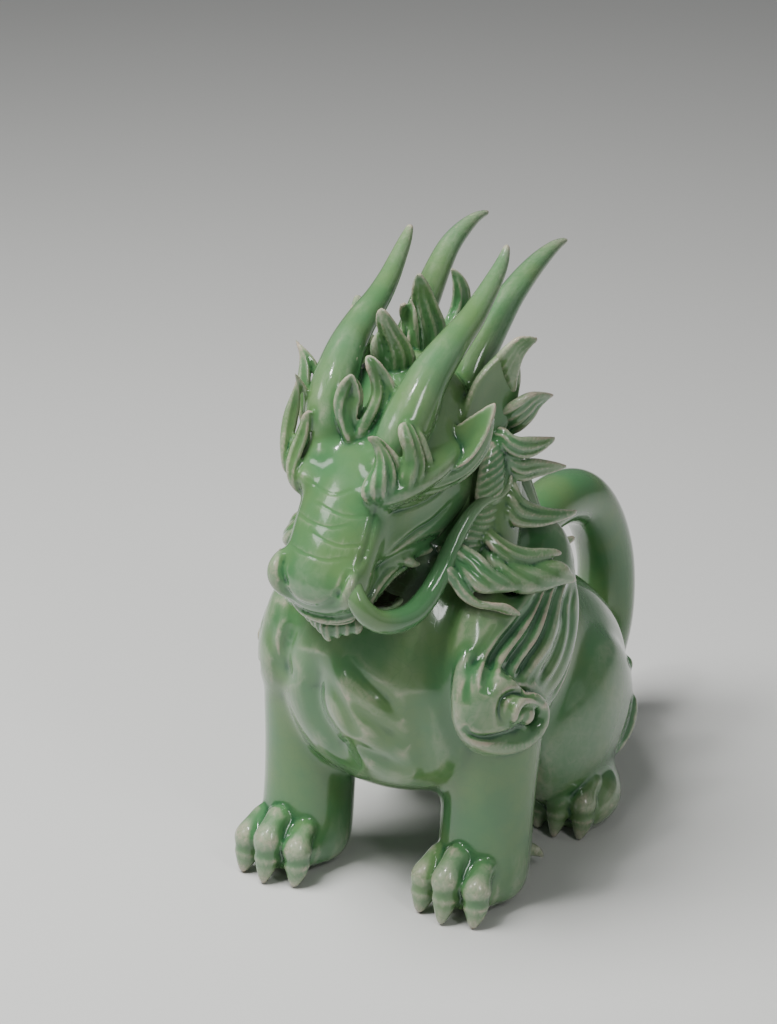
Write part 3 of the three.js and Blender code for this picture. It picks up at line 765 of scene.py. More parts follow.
def horns(clay, thick):
    """The front and the rear pair of horns, which sweep back."""
    front_left = [
        (14, 10, 206, 8), (15, 10.5, 213, 9), (17, 14.6, 220, 10.4), (18.4, 23, 230.5, 10.2), (19.6, 31.5, 240, 8.9),
        (21, 40.2, 246.8, 7.8), (22, 50.6, 252.6, 6.8), (23, 61.1, 258.5, 5.7), (23.6, 69.8, 265, 4.8),
        (24, 77.4, 271, 4), (24.2, 84.2, 277.4, 2.9), (24.3, 88.2, 284.6, 1.4),
    ]
    front_right = [
        (-14, 14, 204, 8), (-15, 11, 213, 9), (-17, 12.4, 223, 10.2), (-18.6, 19, 234, 9.8), (-20.4, 30, 245, 8.4),
        (-22, 44, 253, 7), (-23, 59.4, 259.4, 5.8), (-23.6, 70, 266, 4.8), (-24, 77.9, 272.9, 3.9),
        (-24.2, 84.7, 279.6, 2.9), (-24.3, 89.4, 285.3, 1.4),
    ]
    rear_left = [
        (19, 62, 222, 7.6), (19, 69, 233, 7.2), (20, 77.3, 241.6, 7), (20.3, 86.8, 249.8, 6.7),
        (20.5, 95.6, 256.3, 6.2), (20.5, 109.2, 262.6, 5.3), (20.3, 123.4, 267, 4.2), (20, 138.1, 269.6, 2.7),
        (20, 148.3, 269.6, 1.3),
    ]
    rear_right = [
        (-19, 62, 222, 7.6), (-19, 72, 230, 7.2), (-19.6, 84, 240, 7), (-20.2, 95, 250.6, 6.6),
        (-20.5, 105.4, 261, 5.8), (-20.5, 114.6, 268.6, 5), (-20.3, 125.3, 273.4, 4), (-20, 137, 276.2, 2.6),
        (-20, 148.3, 276, 1.3),
    ]
    for stations in (front_left, front_right, rear_left, rear_right):
        drawn = [(x, y, z, size * thick) for x, y, z, size in stations]
        rod(clay, drawn, (1, 0, 0), sides=40, rings=80, ends=(0.02, 0.02))


def brow_locks(clay):
    """The flame tufts of the brows, which differ from side to side."""
    ahead = (0.35, -0.85, 0.4)
    inner = (
        [(16, -8.8, 198.3), (15.5, -11, 203.3), (16, -7.2, 208), (17, -4.7, 214), (16, -5, 220.4),
         (14.6, -8.8, 225.4)],
        [(24, 0.8, 199.6), (24.5, 3.1, 205.1), (23.5, 2.3, 212.2), (20.5, 0.2, 218.5), (17, -3.5, 224.2),
         (14.6, -8.4, 226)],
    )
    outer = (
        [(25, 0, 200), (26, 2.2, 208), (26.5, 4.5, 215), (25.5, 3, 222), (23.5, 3.8, 227), (22.4, 8.2, 228.8)],
        [(29, 9.9, 200.2), (30.5, 14.6, 205.7), (29.5, 14.5, 213), (28, 13, 219.8), (25, 12.4, 225.1),
         (22.8, 9.2, 229)],
    )
    long = (
        [(25, 4.6, 201.6), (30, 15, 204.5), (33.5, 26.4, 204.4), (37.5, 34.3, 207.7), (40.5, 38.9, 214.4),
         (43, 40.6, 223), (45.2, 43.6, 230.6)],
        [(22, -3, 196.4), (28, 10, 197.6), (32.5, 24.2, 197.1), (36.5, 36.1, 199.8), (40.5, 42.3, 207.6),
         (43.4, 43.2, 218.2), (45.2, 43.8, 230.6)],
    )
    fan(clay, LEFT, *long, 1.7, 4, 1.5, (0.72, -0.62, 0.1))
    fan(clay, LEFT, *outer, 1.5, 4, 3.4, ahead, (-2, 4, -6))
    fan(clay, LEFT, *inner, 1.5, 5, 4.6, ahead, (0, 4, -4))
    spoon = [
        (24, 20, 204, 4.5, 2.4), (28.6, 26, 208, 7, 2.4), (33.4, 31.5, 211.4, 8, 2.4), (38, 36.6, 218, 6.8, 2.2),
        (42.4, 41, 225.4, 3.6, 2), (45, 44, 230.6, 1, 1),
    ]
    rod(clay, spoon, (0.3, -0.6, 0.74), sides=40, rings=40, dish=0.42)
    ahead = face_on(RIGHT, ahead)
    inner = (
        [(-19, -6, 195), (-19, -3, 203), (-18, 2, 211), (-17.5, 2.9, 219.7), (-18.5, 3, 225.2), (-20, 2, 228)],
        [(-24, -4.9, 198), (-26, -4, 207), (-25.4, -0.6, 213.8), (-24, 1.5, 219.3), (-22, 0.4, 225), (-20, 1.8, 228)],
    )
    outer = (
        [(-26, 2, 204), (-26, 5, 214), (-26, 9.2, 224), (-26, 8.6, 232), (-27, 5.8, 238.2), (-28, 2.7, 242.5)],
        [(-28.6, -3.6, 202), (-31, -1.4, 212), (-32, 2.2, 220.6), (-31, 4.6, 228.6), (-29, 6.4, 235),
         (-28, 2.7, 242.5)],
    )
    long = (
        [(-25, 16, 220), (-28, 20, 229), (-30, 23, 236), (-33, 23, 242), (-37, 22.4, 246), (-42, 24.6, 248)],
        [(-29, 11, 218), (-33, 15, 229), (-34.6, 18.6, 237), (-36, 20.6, 242), (-38.6, 22, 246), (-42, 24.6, 248)],
    )
    fan(clay, LEFT, *long, 1.6, 3, 1.5, ahead, (6, 4, -14))
    fan(clay, LEFT, *outer, 1.5, 4, 3, ahead, (4, 5, -6))
    fan(clay, LEFT, *inner, 1.5, 4, 3.4, ahead, (3, 5, -6))


def forelock(clay):
    """Two lobes that rise from one root and curl over."""
    ahead = (0, -0.9, 0.45)
    left = (
        [(-4, 5.7, 217), (-7, 5.9, 222.2), (-8, 4.4, 229.5), (-7.5, 5.3, 236.3), (-5, 6, 241.8), (-2, 6.7, 245.7)],
        [(-1, 10.3, 216.2), (-2, 11.1, 221.5), (-2.5, 11.9, 226.9), (-2.5, 13.5, 232.1), (-2.4, 12.6, 237.7),
         (-2, 7.4, 244.6)],
    )
    right = (
        [(-1, 8.7, 217.1), (0, 10.3, 223.5), (1.5, 13.4, 228.5), (2.5, 15.7, 234.2), (2.5, 14.9, 241),
         (1.5, 12.7, 247.6), (0, 13.5, 251.4)],
        [(4, 15.6, 215.9), (7, 19.4, 221.1), (9.5, 21.7, 227.9), (9, 23.3, 234.4), (6, 22.6, 240.7), (3, 19.6, 246.7),
         (0, 15.9, 252.1)],
    )
    fan(clay, LEFT, *left, 1.4, 4, 3.4, ahead, (0, 3, -6), 0.9)
    fan(clay, LEFT, *right, 1.4, 5, 4.4, ahead, (0, 3, -6), 0.9)


def crest(clay):
    """The flame tufts on the crown between the horns."""
    drawn = (
        ([(-1, 33, 241.5), (-1, 32.2, 247.5), (-2, 30.7, 253.9), (-2.5, 27.6, 261.7), (-1.5, 26, 266.7),
          (0, 26.7, 268.9)],
         [(7, 39.2, 239.8), (7, 39.1, 246), (5, 35.2, 253.9), (3, 31.3, 260.8), (1.5, 29, 265.5), (0, 27.5, 268.3)],
         4, 2.5, (0, 5, -14)),
        ([(-1, 57.9, 235.5), (-1, 58.6, 242.9), (-2, 58.6, 251.6), (-3, 56.9, 261.7), (-1.5, 54.4, 270.6),
          (1, 53.5, 277)],
         [(7, 58.5, 241.2), (7, 65, 246.5), (6, 63.3, 254.8), (4, 60.8, 263.2), (2.5, 58.4, 270.7), (1, 55.1, 276.6)],
         4, 2.5, (0, -2, -12)),
        ([(0, 69.2, 244.5), (1, 76.6, 248.4), (2, 80.7, 253.7), (3, 80.6, 261.1), (2.5, 79.6, 268.4),
          (2, 77.9, 272.3)],
         [(5, 70, 241.8), (6, 78.3, 247.2), (7, 84.1, 254.2), (7, 83.8, 262.6), (5, 81.4, 269.1), (2, 78.6, 272.8)],
         3, 1.5, (-1, -9, -14)),
        ([(-5.5, 51.4, 248.5), (-5.5, 52.2, 254.1), (-5, 49.7, 259.4), (-3, 47.3, 264)],
         [(-3.4, 53, 248.6), (-3.4, 52.1, 254.6), (-3.4, 51.3, 259.3), (-3, 48.9, 264.4)], 2, 0, (2, 0, -18)),
        ([(-1.2, 50.5, 247.3), (-1.2, 52.1, 254.8), (-1.4, 51.3, 262.1), (-1, 50.4, 266.1)],
         [(1.2, 52.1, 247.6), (1.2, 51.2, 255.8), (0.4, 51.2, 261.8), (-1, 51.2, 265.9)], 2, 0, (0, 2, -18)),
        ([(-4.4, 33.1, 241.9), (-5, 30.6, 248), (-4.4, 28.9, 253), (-3.4, 29.2, 256.9)],
         [(-2.4, 36.2, 237.1), (-2.4, 34.6, 243.8), (-3, 31.6, 250.9), (-3.4, 30, 256.6)], 2, 0, (0, 4, -14)),
    )
    for first, last, strands, bulge, root in drawn:
        fan(clay, LEFT, first, last, 1.2, strands, bulge, (0.3, -0.9, 0.25), root, 0.7)


def face_lines(skin):
    """Wrinkles across the bridge of the nose, the borders of the bridge and a crease along each cheek."""
    across = [
        [(a, y + 3, z + sag), (0.6 * a + 0.4 * b, y, z), (0.3 * a + 0.7 * b, y, z - sag / 3), (b, y + 3, z + sag)]
        for y, z, a, b, sag in (
            (-12, 200, -17, 9, 2.5), (-15, 192.6, -9, 18, 1.5), (-18, 187, -18, 12, 2), (-21, 181.6, -7, 18, 1.4),
            (-24, 175, -18, 15, 1.8),
        )
    ]
    skin.incise(across, (0, -0.87, 0.5), 0.6, 0.17)
    lip = [
        (-15, -28, 163), (-12.6, -28.8, 158.7), (-6.7, -28.9, 154.6), (2.8, -29.4, 154.6), (10.2, -29.2, 158.3),
        (15, -28.6, 163.5),
    ]
    wings = [[(side * 16, -24, 173), (side * 14.6, -28, 166), (side * 12, -29, 161)] for side in SIDES]
    skin.incise([lip], (0, -1, 0.1), 2, 1)
    skin.incise(wings, (0, -1, 0.1), 1.6, 1.1)
    for side in SIDES:
        border = [(18, -6, 201), (19, -10, 190), (18.6, -15, 179), (17.6, -20, 172)]
        crease = [(22, -4, 173), (24, 3, 176.6), (25, 13, 179.8), (26.5, 22, 181.6), (29, 34, 187)]
        fold = [(20, -12, 168), (22.4, -4, 169.6), (24, 6, 172), (26, 18, 172.4), (28.5, 28, 172)]
        lid = [(22, -2, 191), (25, 8, 190.6), (28, 20, 192), (30, 32, 196)]
        skin.incise([on_side(side, border)], (side * 0.6, -0.75, 0.3), 1.4, 0.7)
        skin.incise([on_side(side, crease), on_side(side, lid)], (side, -0.3, 0.1), 1.1, 0.8)
        skin.incise([on_side(side, fold)], (side, -0.3, 0.1), 2.4, 1.2)


def mouth_shade(skin):
    """How far into the mouth each point is, which sets the painted shade inside it."""
    x, y, z = skin.co.T
    _, along, middle, _, room = zip(*MOUTH_GAP)
    height = np.interp(y, along, middle)
    room = np.interp(y, along, room) + 0.8
    deep = np.clip((18.6 + 0.22 * (y + 12) - np.abs(x)) / 2, 0, 1)
    return deep * np.clip((room - np.abs(z - height)) / 0.8 + 0.5, 0, 1) * ((y > along[0]) & (y < along[-1] + 1))


def make_head(settings, glaze):
    """A softened skull with its mouth cut out, then horns and ears, then lips, beard, locks and teeth, with painted
    shade inside the mouth.
    """
    clay = bmesh.new()
    skull(clay)
    jaw(clay)
    core = fuse("qilin_core", clay, in_mm(settings.body_grain))
    cutter = bmesh.new()
    for side in SIDES:
        mouth_gap(cutter, side)
    cut_out(core, cutter, in_mm(settings.body_grain))
    skin = Skin(core.data)
    skin.relax(40, 0.6)
    skin.store()
    clay = as_clay(core)
    horns(clay, settings.horns)
    for side in SIDES:
        ear(clay, side)
    core = fuse("qilin_core", clay, in_mm(settings.body_grain))
    skin = Skin(core.data)
    low = np.clip((236 - skin.co[:, 2]) / 20, 0.1, 1)
    skin.relax(26, 0.6, low * np.clip((skin.co[:, 2] - 172) / 20, 0.05, 1))
    skin.store()
    clay = as_clay(core)
    lips(clay)
    beard(clay)
    brow_locks(clay)
    forelock(clay)
    crest(clay)
    for side in SIDES:
        teeth(clay, side)
    piece = fuse("qilin_head", clay, in_mm(settings.fine_grain))
    skin = Skin(piece.data)
    skin.relax(3)
    face_lines(skin)
    skin.relax(1)
    skin.store()
    # Painted shade: the inside of the mouth is marked to take the dark mouth colour.
    skin.mark("mouth", mouth_shade(skin))
    settle(piece, settings.triangles, glaze)


# The hair

def cheek_band(clay, side):
    """The ribbed skin behind the cheek, which the whisker crosses."""
    upper = [
        (37, 58, 208, 3, 3), (38, 54.6, 202, 5.4, 3.4), (38.6, 52, 195, 7, 3.6), (39, 50, 188, 7.6, 3.6),
        (39, 48, 181, 7, 3),
    ]
    lower = [
        (38.6, 49, 184, 7, 3.4), (38.6, 46, 177.6, 8, 4), (37.6, 42, 172, 8, 4), (36.6, 36, 167, 6.6, 3.6),
        (34.6, 31, 162, 4, 3),
    ]
    for stations in (upper, lower):
        rod(clay, on_side(side, stations), face_on(side, (1, -0.4, 0)),
            sides=40, rings=120, ribs=9, groove=0.24, slant=0.16)


def cheek_locks(clay, side):
    """Flame locks that stream back from behind the ear and the cheek."""
    drawn = (
        ([(22, 72, 228), (36, 61, 242), (41, 60, 248.4), (45, 63, 253), (49, 73, 251)],
         [(22, 72, 221), (37, 68.6, 226), (41.6, 65, 236), (46, 65, 246), (49, 73.6, 250.6)], 1.6, 5),
        ([(24, 66, 212), (38, 64, 219), (43, 65, 223), (47, 70, 226), (50, 86, 222)],
         [(26, 68, 204), (39, 70.6, 209), (44, 74, 214.4), (47, 76.4, 219.6), (50, 86, 222)], 1.6, 4),
        ([(26, 62, 208), (39, 60, 212), (44, 61, 208.6), (48, 70, 206), (52, 85, 203.4)],
         [(27, 60, 204), (39, 57, 208), (44, 60, 203), (48, 68.6, 200), (52, 85, 202.6)], 1.8, 3),
        ([(28, 62, 200), (39, 61, 203), (44, 63, 197), (48, 73, 195), (53, 93, 188)],
         [(28, 64, 192), (39, 63, 195), (44, 65, 190), (48, 76, 189), (53, 93, 187)], 1.9, 3),
        ([(30, 64, 186), (40, 62, 190), (45, 62, 182), (50, 73, 173.6), (53.4, 84, 169.6), (56, 98, 166)],
         [(31, 60, 178), (40, 57, 180.6), (46, 57, 174), (51, 68, 169), (54, 80, 167), (56, 97.4, 164.6)], 2.3, 3),
        ([(32, 50.9, 172.5), (41.5, 44.7, 172.1), (47, 48, 166.7), (52, 53.5, 161.9), (56, 63.3, 158.7),
          (59, 71.1, 156.8), (60.5, 76.4, 154.5)],
         [(32, 45.9, 172.4), (40.5, 42.3, 170), (46, 42.2, 165.5), (50.5, 47.2, 159.5), (54.5, 56.6, 156.6),
          (58, 65.9, 156.3), (60.5, 76.5, 153.8)], 2, 3),
        ([(36, 64.8, 151.8), (46.5, 49.1, 157.4), (52, 53.8, 153.3), (57, 61.8, 150.6), (61, 70.5, 149.1),
          (63, 75.9, 145.5), (64.5, 82.2, 140.7)],
         [(36, 54.4, 159.2), (43.5, 42.4, 161.9), (49, 41.5, 157.1), (54, 44.8, 151.5), (58, 55, 147.3),
          (62, 67.5, 144.8), (64.5, 82.3, 140)], 2.2, 3),
        ([(26, 38, 168), (37, 29.6, 168.6), (45, 30.6, 164.6), (49.5, 33.1, 158.4), (53, 38, 153.4),
          (55.6, 42.6, 151), (57.4, 47.4, 149.2), (58, 50.4, 149)],
         [(26, 30, 166), (33.5, 23.5, 166.8), (38, 25.4, 163), (44, 25, 158.7), (48, 27.4, 154.4),
          (52.5, 34.9, 151.6), (56.6, 43.6, 149), (58, 50.4, 148.7)], 1.9, 3),
        ([(32, 19.7, 165.2), (36, 20.4, 163.1), (39.5, 21.9, 159.5), (43.5, 22.7, 154), (47.5, 25.9, 147.7),
          (53, 29, 146.5), (57, 33.9, 144.7), (61, 41.5, 138.7)],
         [(32, 18.1, 163), (35.5, 18.8, 160.4), (39, 20.4, 156.1), (43, 21.1, 150.8), (47.5, 25.1, 146.2),
          (53, 30.8, 143.6), (57, 35.7, 141), (61, 41.5, 138.2)], 1.9, 3),
    )
    for n, (first, last, width, strands) in enumerate(drawn):
        if n == 0 and side == RIGHT:  # behind the right ear, the first lock lies closer to the head
            first, last = ([(x - 7, y, z - 1) for x, y, z in path] for path in (first, last))
        fan(clay, side, first, last, 0.78 * width, strands, 0.8, (0.8, -0.5, 0.3))


def nape_locks(clay):
    """Broad locks that fall from the crown over the nape."""
    for n in (-2, -1, 0, 1, 2):
        out = abs(n)
        points = [
            (7 * n, 78 - 3 * out, 228 - 5 * out), (11 * n, 101 - 5 * out, 200 - 6 * out),
            (16 * n, 118 - 8 * out, 164 - 5 * out), (19 * n, 128 - 9 * out, 138 + 2 * out),
            (21 * n, 142 - 10 * out, 134 + 4 * out),
        ]
        lock(clay, LEFT, points, 11, 7, (0.45 * n, 1, 0.3), strands=4)


def make_hair(settings, glaze):
    """The locks of the nape and, on each side, a ruff with the cheek's band and locks."""
    clay = bmesh.new()
    nape_locks(clay)
    ruff = [
        (30, 64, 214, 8, 6), (34, 64, 200, 12, 7), (37, 62, 184, 15, 7), (39, 58, 168, 16, 7), (41, 54, 154, 15, 7),
        (42, 51, 143, 11, 5.4),
    ]
    for side in SIDES:
        rod(clay, on_side(side, ruff), (side, 0, 0), sides=40, rings=36)
        cheek_band(clay, side)
        cheek_locks(clay, side)
    piece = fuse("qilin_hair", clay, in_mm(settings.fine_grain))
    skin = Skin(piece.data)
    skin.relax(2)
    skin.store()
    settle(piece, settings.triangles, glaze)


# The whiskers

def whisker(clay, side, thick):
    """A long whisker. The last two numbers of a row draw the right one's bend inwards and back."""
    drawn = [
        (11, -16, 171, 2.6, 2, 0), (14.6, -20.6, 166.6, 3.8, 4, 0), (18.6, -23.6, 161.5, 4.4, 6, 2),
        (22, -22.6, 155.5, 4.7, 8, 4), (25, -18, 150.2, 5, 8, 5), (28, -9.5, 147, 5.3, 6, 3),
        (30.5, 0.7, 147, 5.2, 2, 0), (32, 11, 151.4, 5, 0, 0), (33.5, 20.5, 160.7, 4.6, 0, 0),
        (34.5, 25.3, 167.8, 4.1, 0, 0), (35.5, 30, 174, 3.6, 0, 0), (37.5, 39, 182, 2.9, 0, 0),
        (39.5, 46.4, 185, 2.4, 0, 0), (41.5, 54, 185, 2.2, 0, 0), (43, 59, 188, 1.7, 0, 0),
        (43.6, 61, 193, 0.6, 0, 0),
    ]
    tucked = side == RIGHT
    stations = [(x - tucked * inward, y + tucked * back, z, size * thick) for x, y, z, size, inward, back in drawn]
    rod(clay, on_side(side, stations), (side, 0, 0), sides=32, rings=120, ends=(0.03, 0.03))


def make_whiskers(settings, glaze):
    """Both whiskers, as one piece."""
    clay = bmesh.new()
    for side in SIDES:
        whisker(clay, side, settings.whisker)
    piece = fuse("qilin_whiskers", clay, in_mm(settings.fine_grain))
    skin = Skin(piece.data)
    skin.relax(6)
    skin.store()
    settle(piece, settings.triangles // 2, glaze)


# Shader maths

class Socket:
    """A value in a material's tree, on which Python's operators make Math nodes."""

    def __init__(self, tree, link):
        self.tree = tree
        self.link = link

    def _math(self, operation, *values, clamp=False):
        node = self.tree.add("ShaderNodeMath", {"operation": operation, "use_clamp": clamp}, dict(enumerate(values)))
        return Socket(self.tree, node.outputs[0])

    def __add__(self, other):
        return self._math("ADD", self, other)

    __radd__ = __add__

    def __sub__(self, other):
        return self._math("SUBTRACT", self, other)

    def __rsub__(self, other):
        return self._math("SUBTRACT", other, self)

    def __mul__(self, other):
        return self._math("MULTIPLY", self, other)

    __rmul__ = __mul__

    def __neg__(self):
        return self * -1

    def clamp(self):
        """The value, kept from 0 to 1."""
        return self._math("ADD", self, 0, clamp=True)

    def ramp(self, low, high):
        """0 at low, 1 at high, smooth between."""
        node = self.tree.add(
            "ShaderNodeMapRange", {"interpolation_type": "SMOOTHSTEP"},
            {"Value": self, "From Min": low, "From Max": high, "To Min": 0.0, "To Max": 1.0},
        )
        return Socket(self.tree, node.outputs["Result"])


class Tree:
    """A material's node tree, with one method that adds any node."""

    def __init__(self, name):
        self.material = bpy.data.materials.new(name)
        self.material.use_nodes = True
        self.nodes = self.material.node_tree.nodes
        self.shader = self.nodes["Principled BSDF"]

    def add(self, kind, settings=None, values=None):
        """A new node of the kind, with its settings first and then its sockets' values or links."""
        node = self.nodes.new(kind)
        for name, value in (settings or {}).items():
            setattr(node, name, value)
        self.fill(node, values or {})
        return node

    def fill(self, node, values):
        """Sets the node's sockets, or links them where a value is a socket."""
        for name, value in values.items():
            if isinstance(value, Socket):
                self.material.node_tree.links.new(value.link, node.inputs[name])
            else:
                node.inputs[name].default_value = value

    def attribute(self, name):
        """A measure that the mesh keeps at each point."""
        return Socket(self, self.add("ShaderNodeAttribute", {"attribute_name": name}).outputs["Fac"])

    def vector(self, operation, values):
        """The result of an operation on vectors."""
        node = self.add("ShaderNodeVectorMath", {"operation": operation}, values)
        return Socket(self, node.outputs["Vector"])

    def place(self):
        """The point on the piece, in millimetres."""
        point = Socket(self, self.add("ShaderNodeTexCoord").outputs["Object"])
        return self.vector("SCALE", {0: point, "Scale": 1 / MM})

    def noise(self, point, size, detail=2.0, output="Fac"):
        """Soft blotches of about the size, in millimetres."""
        node = self.add("ShaderNodeTexNoise", None, {"Vector": point, "Scale": 1 / size, "Detail": detail})
        return Socket(self, node.outputs[output])

    def mix(self, share, first, second):
        """The first colour where the share is 0, and the second where it is 1."""
        node = self.add("ShaderNodeMix", {"data_type": "RGBA"}, {0: share, 6: first, 7: second})
        return Socket(self, node.outputs[2])


def glaze_material(colours):
    """Celadon over stoneware: darker where it pools and in broad hollows as painted shade, pale where it runs thin
    and brightened as a painted highlight on raised parts, brown on the sharpest edges, and darkened in the mouth as
    painted shade.
    """
    tree = Tree("celadon")
    place = tree.place()
    fine = tree.attribute("fine")
    broad = tree.attribute("broad")
    mottle = tree.noise(place, size=34, detail=3)
    speck = tree.noise(place, size=7, detail=3)
    # Darker glaze where it pools in hollows; the broad hollows are darkened as painted shade too.
    pooled_and_shaded = (broad.ramp(0.08, 1.2) * 0.8 + fine.ramp(0.02, 0.24) * 0.8).clamp()
    # Paler glaze where it runs thin on raised edges, also a painted highlight on raised parts such as the toes and
    # crest.
    thin = ((-broad).ramp(0.18, 2.0) * 0.8 + (-fine).ramp(0.02, 0.2) * 0.6).clamp()
    bare = ((-fine).ramp(0.05, 0.22) * (0.45 + 0.55 * speck.ramp(0.35, 0.6))).clamp()
    colour = tree.mix(mottle.ramp(0.36, 0.66), (*colours.body, 1), (*colours.warm, 1))
    colour = tree.mix(thin * 0.85, colour, (*colours.thin, 1))
    colour = tree.mix(pooled_and_shaded, colour, (*colours.pooled_and_shaded, 1))
    colour = tree.mix(bare * 0.8, colour, (*colours.bare, 1))
    # Painted shade: the inside of the mouth and the throat under it are darkened.
    colour = tree.mix(tree.attribute("mouth"), colour, (*colours.mouth, 1))
    sway = tree.vector("SCALE", {0: tree.noise(place, size=9, output="Color"), "Scale": 5})
    cells = tree.add(
        "ShaderNodeTexVoronoi", {"feature": "DISTANCE_TO_EDGE"},
        {"Vector": tree.vector("ADD", {0: place, 1: sway}), "Scale": 1 / in_mm(colours.crackle)},
    )
    crack = 1 - Socket(tree, cells.outputs["Distance"]).ramp(0.004, 0.035)
    colour = tree.mix(crack * 0.2, colour, (*colours.crack, 1))
    ripple = tree.noise(place, size=3.5) * 0.4 + tree.noise(place, size=16)
    bump = tree.add("ShaderNodeBump", None, {"Strength": 0.16, "Distance": 0.0006, "Height": ripple - crack * 0.12})
    tree.fill(tree.shader, {
        "Base Color": colour,
        "Roughness": 0.14 + bare * 0.3 + mottle * 0.05,
        "Normal": Socket(tree, bump.outputs["Normal"]),
        "Coat Weight": 0.6,
        "Coat Roughness": 0.03,
        "IOR": 1.5,
    })
    return tree.material


def plain_material(name, colour, roughness):
    """One colour, for the floor."""
    tree = Tree(name)
    tree.fill(tree.shader, {"Base Color": (*colour, 1), "Roughness": roughness})
    return tree.material


# The studio

PHOTO_AZIMUTH = 32  # degrees from the front towards the animal's left
PHOTO_ELEVATION = 22
PHOTO_DISTANCE = 1400  # mm
PHOTO_TARGET = Vector((-20.8, 65.1, 160))
PHOTO_FOCUS = 2.28  # pixels of the photo for each millimetre at the target
PHOTO_ROWS = 1024
SENSOR = 36  # mm
LIGHT_CENTRE = Vector((0, 0, 0.14))  # the point that the lights stand round, in metres
LIGHTS = {  # azimuth and elevation in degrees, distance and width in metres, length over width, watts, gives glints
    "key": (-42, 64, 1.3, 0.8, 1, 32, False),
    "sheen": (-38, 37, 1.3, 0.32, 1, 1.8, True),
    "spark": (-12, 62, 1.2, 0.08, 1, 2.5, True),
    "front": (60, 36, 1.3, 0.14, 4, 3.2, True),
    "fill": (105, 20, 1.6, 1.2, 1, 1.2, True),
}
SKY = (0.78, 0.8, 0.82, 1)
SKY_STRENGTH = 0.16


def direction(azimuth, elevation):
    """The unit vector at an azimuth from the front towards the animal's left, and at an elevation."""
    a, e = math.radians(azimuth), math.radians(elevation)
    return Vector((math.sin(a) * math.cos(e), -math.cos(a) * math.cos(e), math.sin(e)))


def stand(name, data, location, towards):
    """Puts a camera or light at its place, looking the opposite way."""
    thing = bpy.data.objects.new(name, data)
    bpy.context.scene.collection.objects.link(thing)
    thing.location = location
    thing.rotation_euler = (-towards).to_track_quat("-Z", "Y").to_euler()
    return thing


def add_camera():
    """The camera, at the photo's angle and distance."""
    data = bpy.data.cameras.new("camera")
    data.sensor_width = SENSOR
    data.lens = PHOTO_FOCUS * PHOTO_DISTANCE * SENSOR / PHOTO_ROWS
    towards = direction(PHOTO_AZIMUTH, PHOTO_ELEVATION)
    location = (PHOTO_TARGET + towards * PHOTO_DISTANCE + ORIGIN) * MM
    bpy.context.scene.camera = stand("camera", data, location, towards)


def add_light(name, azimuth, elevation, distance, width, length, power, glint):
    """An area light, from one row of the table of lights."""
    data = bpy.data.lights.new(name, "AREA")
    data.shape = "RECTANGLE"
    data.size = width
    data.size_y = width * length
    data.energy = power
    towards = direction(azimuth, elevation)
    stand(name, data, towards * distance + LIGHT_CENTRE, towards).visible_glossy = glint


def add_floor(colour):
    """A plain floor, far wider than the figure."""
    mesh = bpy.data.meshes.new("floor")
    bm = bmesh.new()
    bmesh.ops.create_grid(bm, x_segments=1, y_segments=1, size=3)
    bm.to_mesh(mesh)
    bm.free()
    floor = bpy.data.objects.new("floor", mesh)
    bpy.context.scene.collection.objects.link(floor)
    mesh.materials.append(plain_material("floor", colour, 0.6))


def build_stage(settings):
    """The floor, the camera, the lights and a dim grey sky."""
    add_floor(tuple(settings.floor))
    add_camera()
    for name, light in LIGHTS.items():
        add_light(name, *light)
    world = bpy.data.worlds.new("studio")
    world.use_nodes = True
    background = world.node_tree.nodes["Background"]
    background.inputs["Color"].default_value = SKY
    background.inputs["Strength"].default_value = SKY_STRENGTH
    bpy.context.scene.world = world


# Settings, operators and panel

class QilinSettings(bpy.types.PropertyGroup):
    """Sizes of the figure and the fineness of its skin."""
    horns: FloatProperty(
        name="Horns", description="Thickness of the horns as a share of the drawn one", subtype="FACTOR",
        min=0.7, max=1.2, default=1,
    )
    whisker: FloatProperty(
        name="Whiskers", description="Thickness of the whiskers as a share of the drawn one", subtype="FACTOR",
        min=0.6, max=1.2, default=1,
    )
    tail: FloatProperty(
        name="Tail", description="Half-thickness of the tail at the back of its arch", unit="LENGTH", precision=4,
        min=0.01, max=0.018, default=0.014,
    )
    body_grain: FloatProperty(
        name="Body grain", description="Size of the cells in which the trunk's clay is fused", unit="LENGTH",
        precision=5, min=0.0006, max=0.003, default=0.00078,
    )
    fine_grain: FloatProperty(
        name="Fine grain", description="Size of the cells in which the head, hair and tail are fused", unit="LENGTH",
        precision=5, min=0.0005, max=0.003, default=0.00062,
    )
    triangles: IntProperty(
        name="Triangles", description="The most triangles of one piece", min=10000, max=196000, default=196000,
    )


